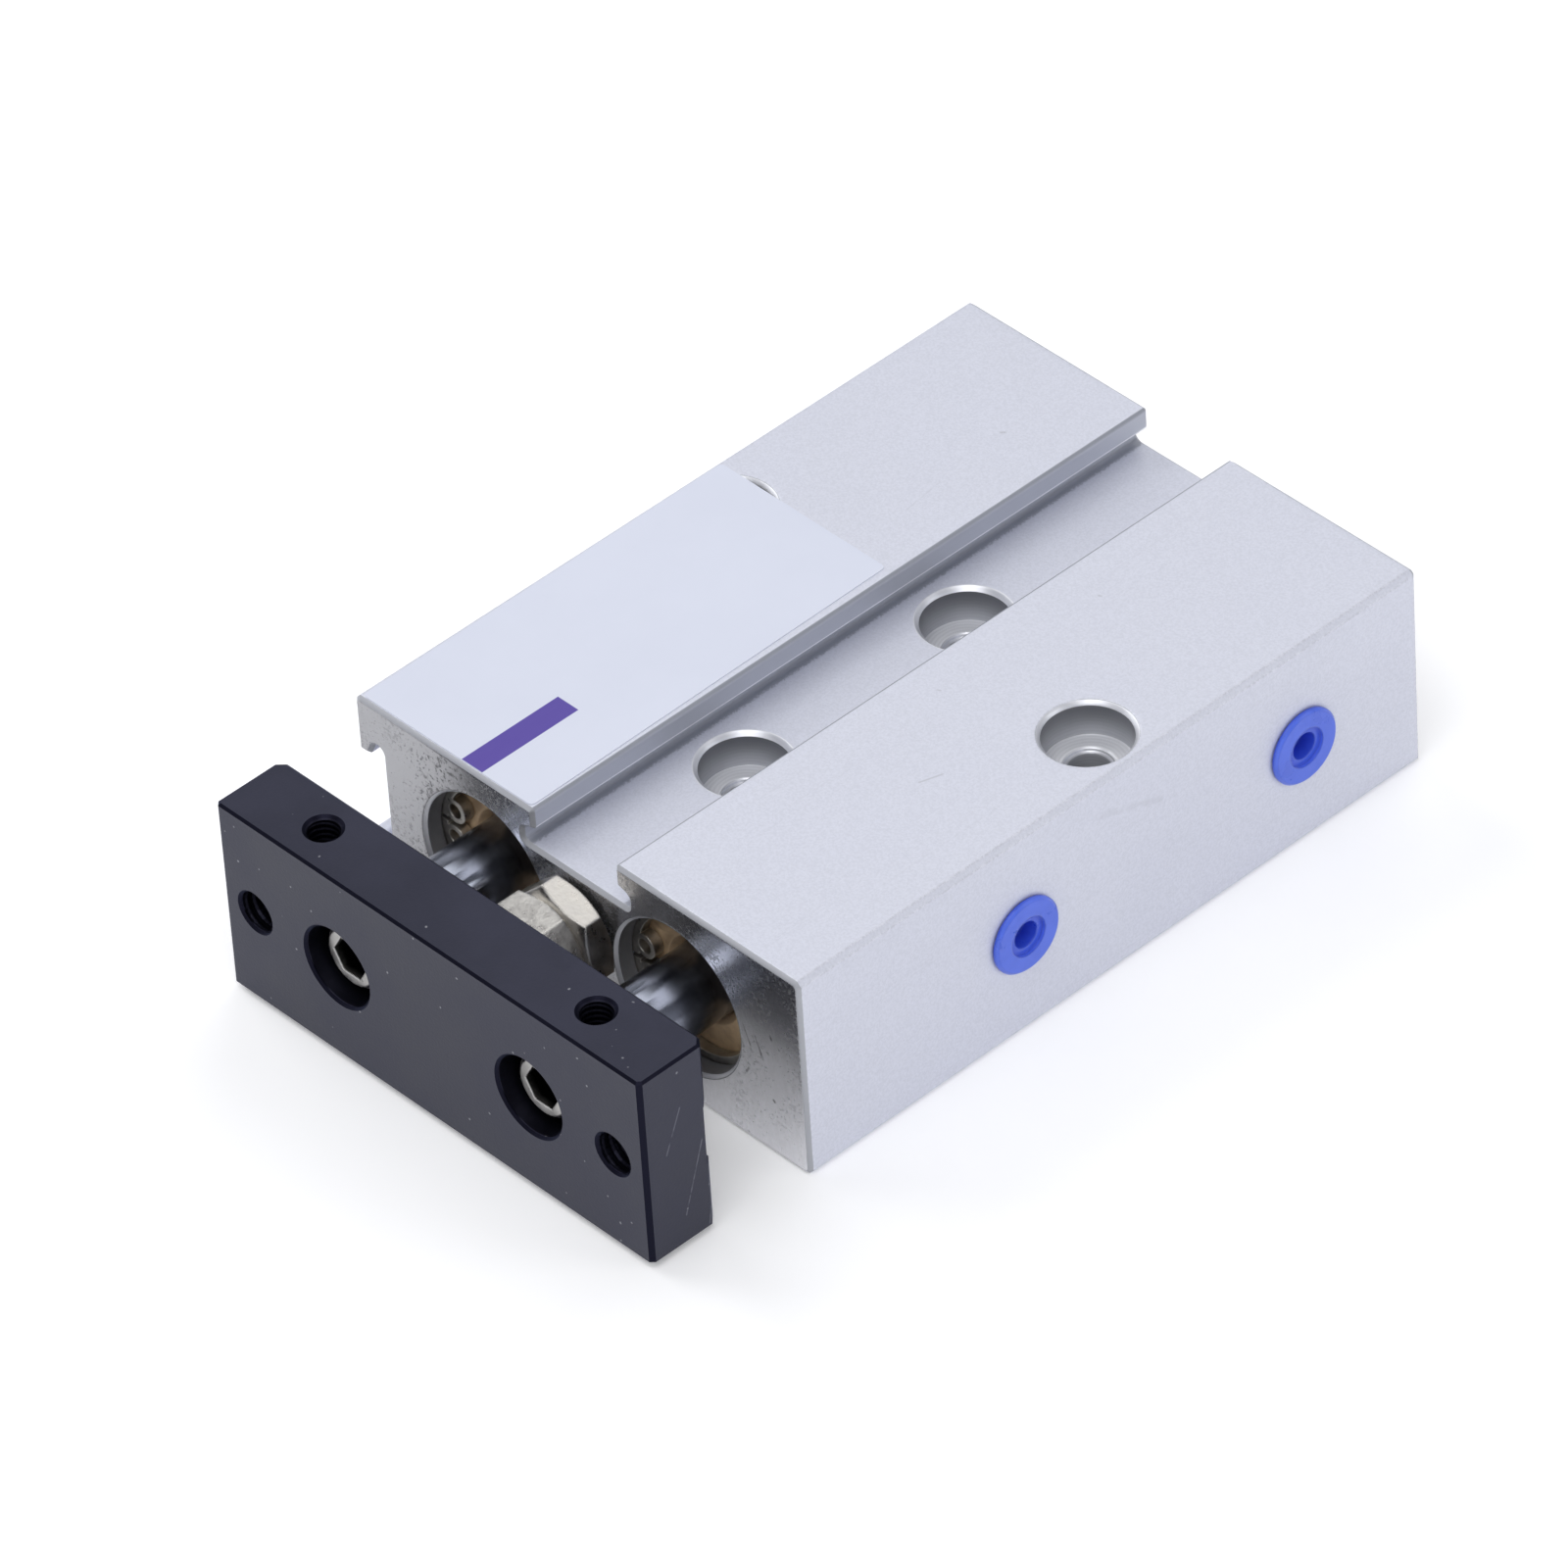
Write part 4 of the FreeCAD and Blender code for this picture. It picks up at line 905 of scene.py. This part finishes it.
def makeStudio():
    world = bpy.data.worlds.new("studioWorld")
    scene.world = world
    world.use_nodes = True
    sky = world.node_tree
    upward = split(sky, place(sky, "ShaderNodeTexCoord").outputs["Generated"])["Z"]
    shade = blendColour(sky, between(sky, upward, *studio["skyFade"]), studio["horizon"], studio["zenith"])
    sky.links.new(shade, sky.nodes["Background"].inputs["Color"])

    # the floor glows only to the camera and in reflections, so it looks white and still takes shadows
    half = studio["floorSize"] / 2
    data = bpy.data.meshes.new("studio_floor")
    corners = [(-half, -half, 0), (half, -half, 0), (half, half, 0), (-half, half, 0)]
    data.from_pydata(corners, [], [(0, 1, 2, 3)])
    floor = bpy.data.objects.new("studio_floor", data)
    scene.collection.objects.link(floor)
    floor.location.z = cadBox[0].z - studio["floorGap"]
    material, tree, shader = newMaterial("floorWhite")[:3]
    rays = place(tree, "ShaderNodeLightPath").outputs
    seen = calc(tree, "MAXIMUM", rays["Is Camera Ray"], rays["Is Glossy Ray"])
    seen = calc(tree, "MAXIMUM", seen, rays["Is Transmission Ray"])
    setShader(tree, shader, Base_Color=studio["floor"], Roughness=studio["floorRough"],
              Emission_Color=(1, 1, 1, 1), Emission_Strength=times(tree, seen, studio["floorGlow"]))
    data.materials.append(material)

    middle = Vector((0, 0, barrelTop / 2))
    for name, (lampAt, size, power) in studio["lamps"].items():
        lamp = bpy.data.lights.new(name, "AREA")
        lamp.size = size
        lamp.energy = power
        holder = bpy.data.objects.new(name, lamp)
        scene.collection.objects.link(holder)
        holder.location = lampAt
        holder.rotation_euler = (middle - Vector(lampAt)).to_track_quat("-Z", "Y").to_euler()


makeStudio()
print("studio lit")


# camera at the photograph's viewing angle: angles in degrees, lengths in mm
shot = {
    "azimuth": 48.865,
    "elevation": 40.621,
    "roll": -3.882,
    "target": (-1.510, -9.359, 8.632),
    "distance": 929.81,
    "lens": 297.33,
    "sensor": 36.0,
}


def makeCamera():
    turn, tilt, roll = (math.radians(shot[name]) for name in ("azimuth", "elevation", "roll"))
    back = Vector((math.sin(turn) * math.cos(tilt), -math.cos(turn) * math.cos(tilt), math.sin(tilt)))
    level = Vector((math.cos(turn), math.sin(turn), 0))
    right = level * math.cos(roll) + back.cross(level) * math.sin(roll)
    up = back.cross(right)
    lens = bpy.data.cameras.new("photoCamera")
    lens.lens = shot["lens"]
    lens.sensor_width = shot["sensor"]
    camera = bpy.data.objects.new("photoCamera", lens)
    scene.collection.objects.link(camera)
    standAt = (Vector(shot["target"]) + back * shot["distance"]) * mm
    camera.matrix_world = Matrix.Translation(standAt) @ Matrix((right, up, back)).transposed().to_4x4()
    scene.camera = camera


makeCamera()
scene.view_settings.view_transform = "Standard"
print("camera set")
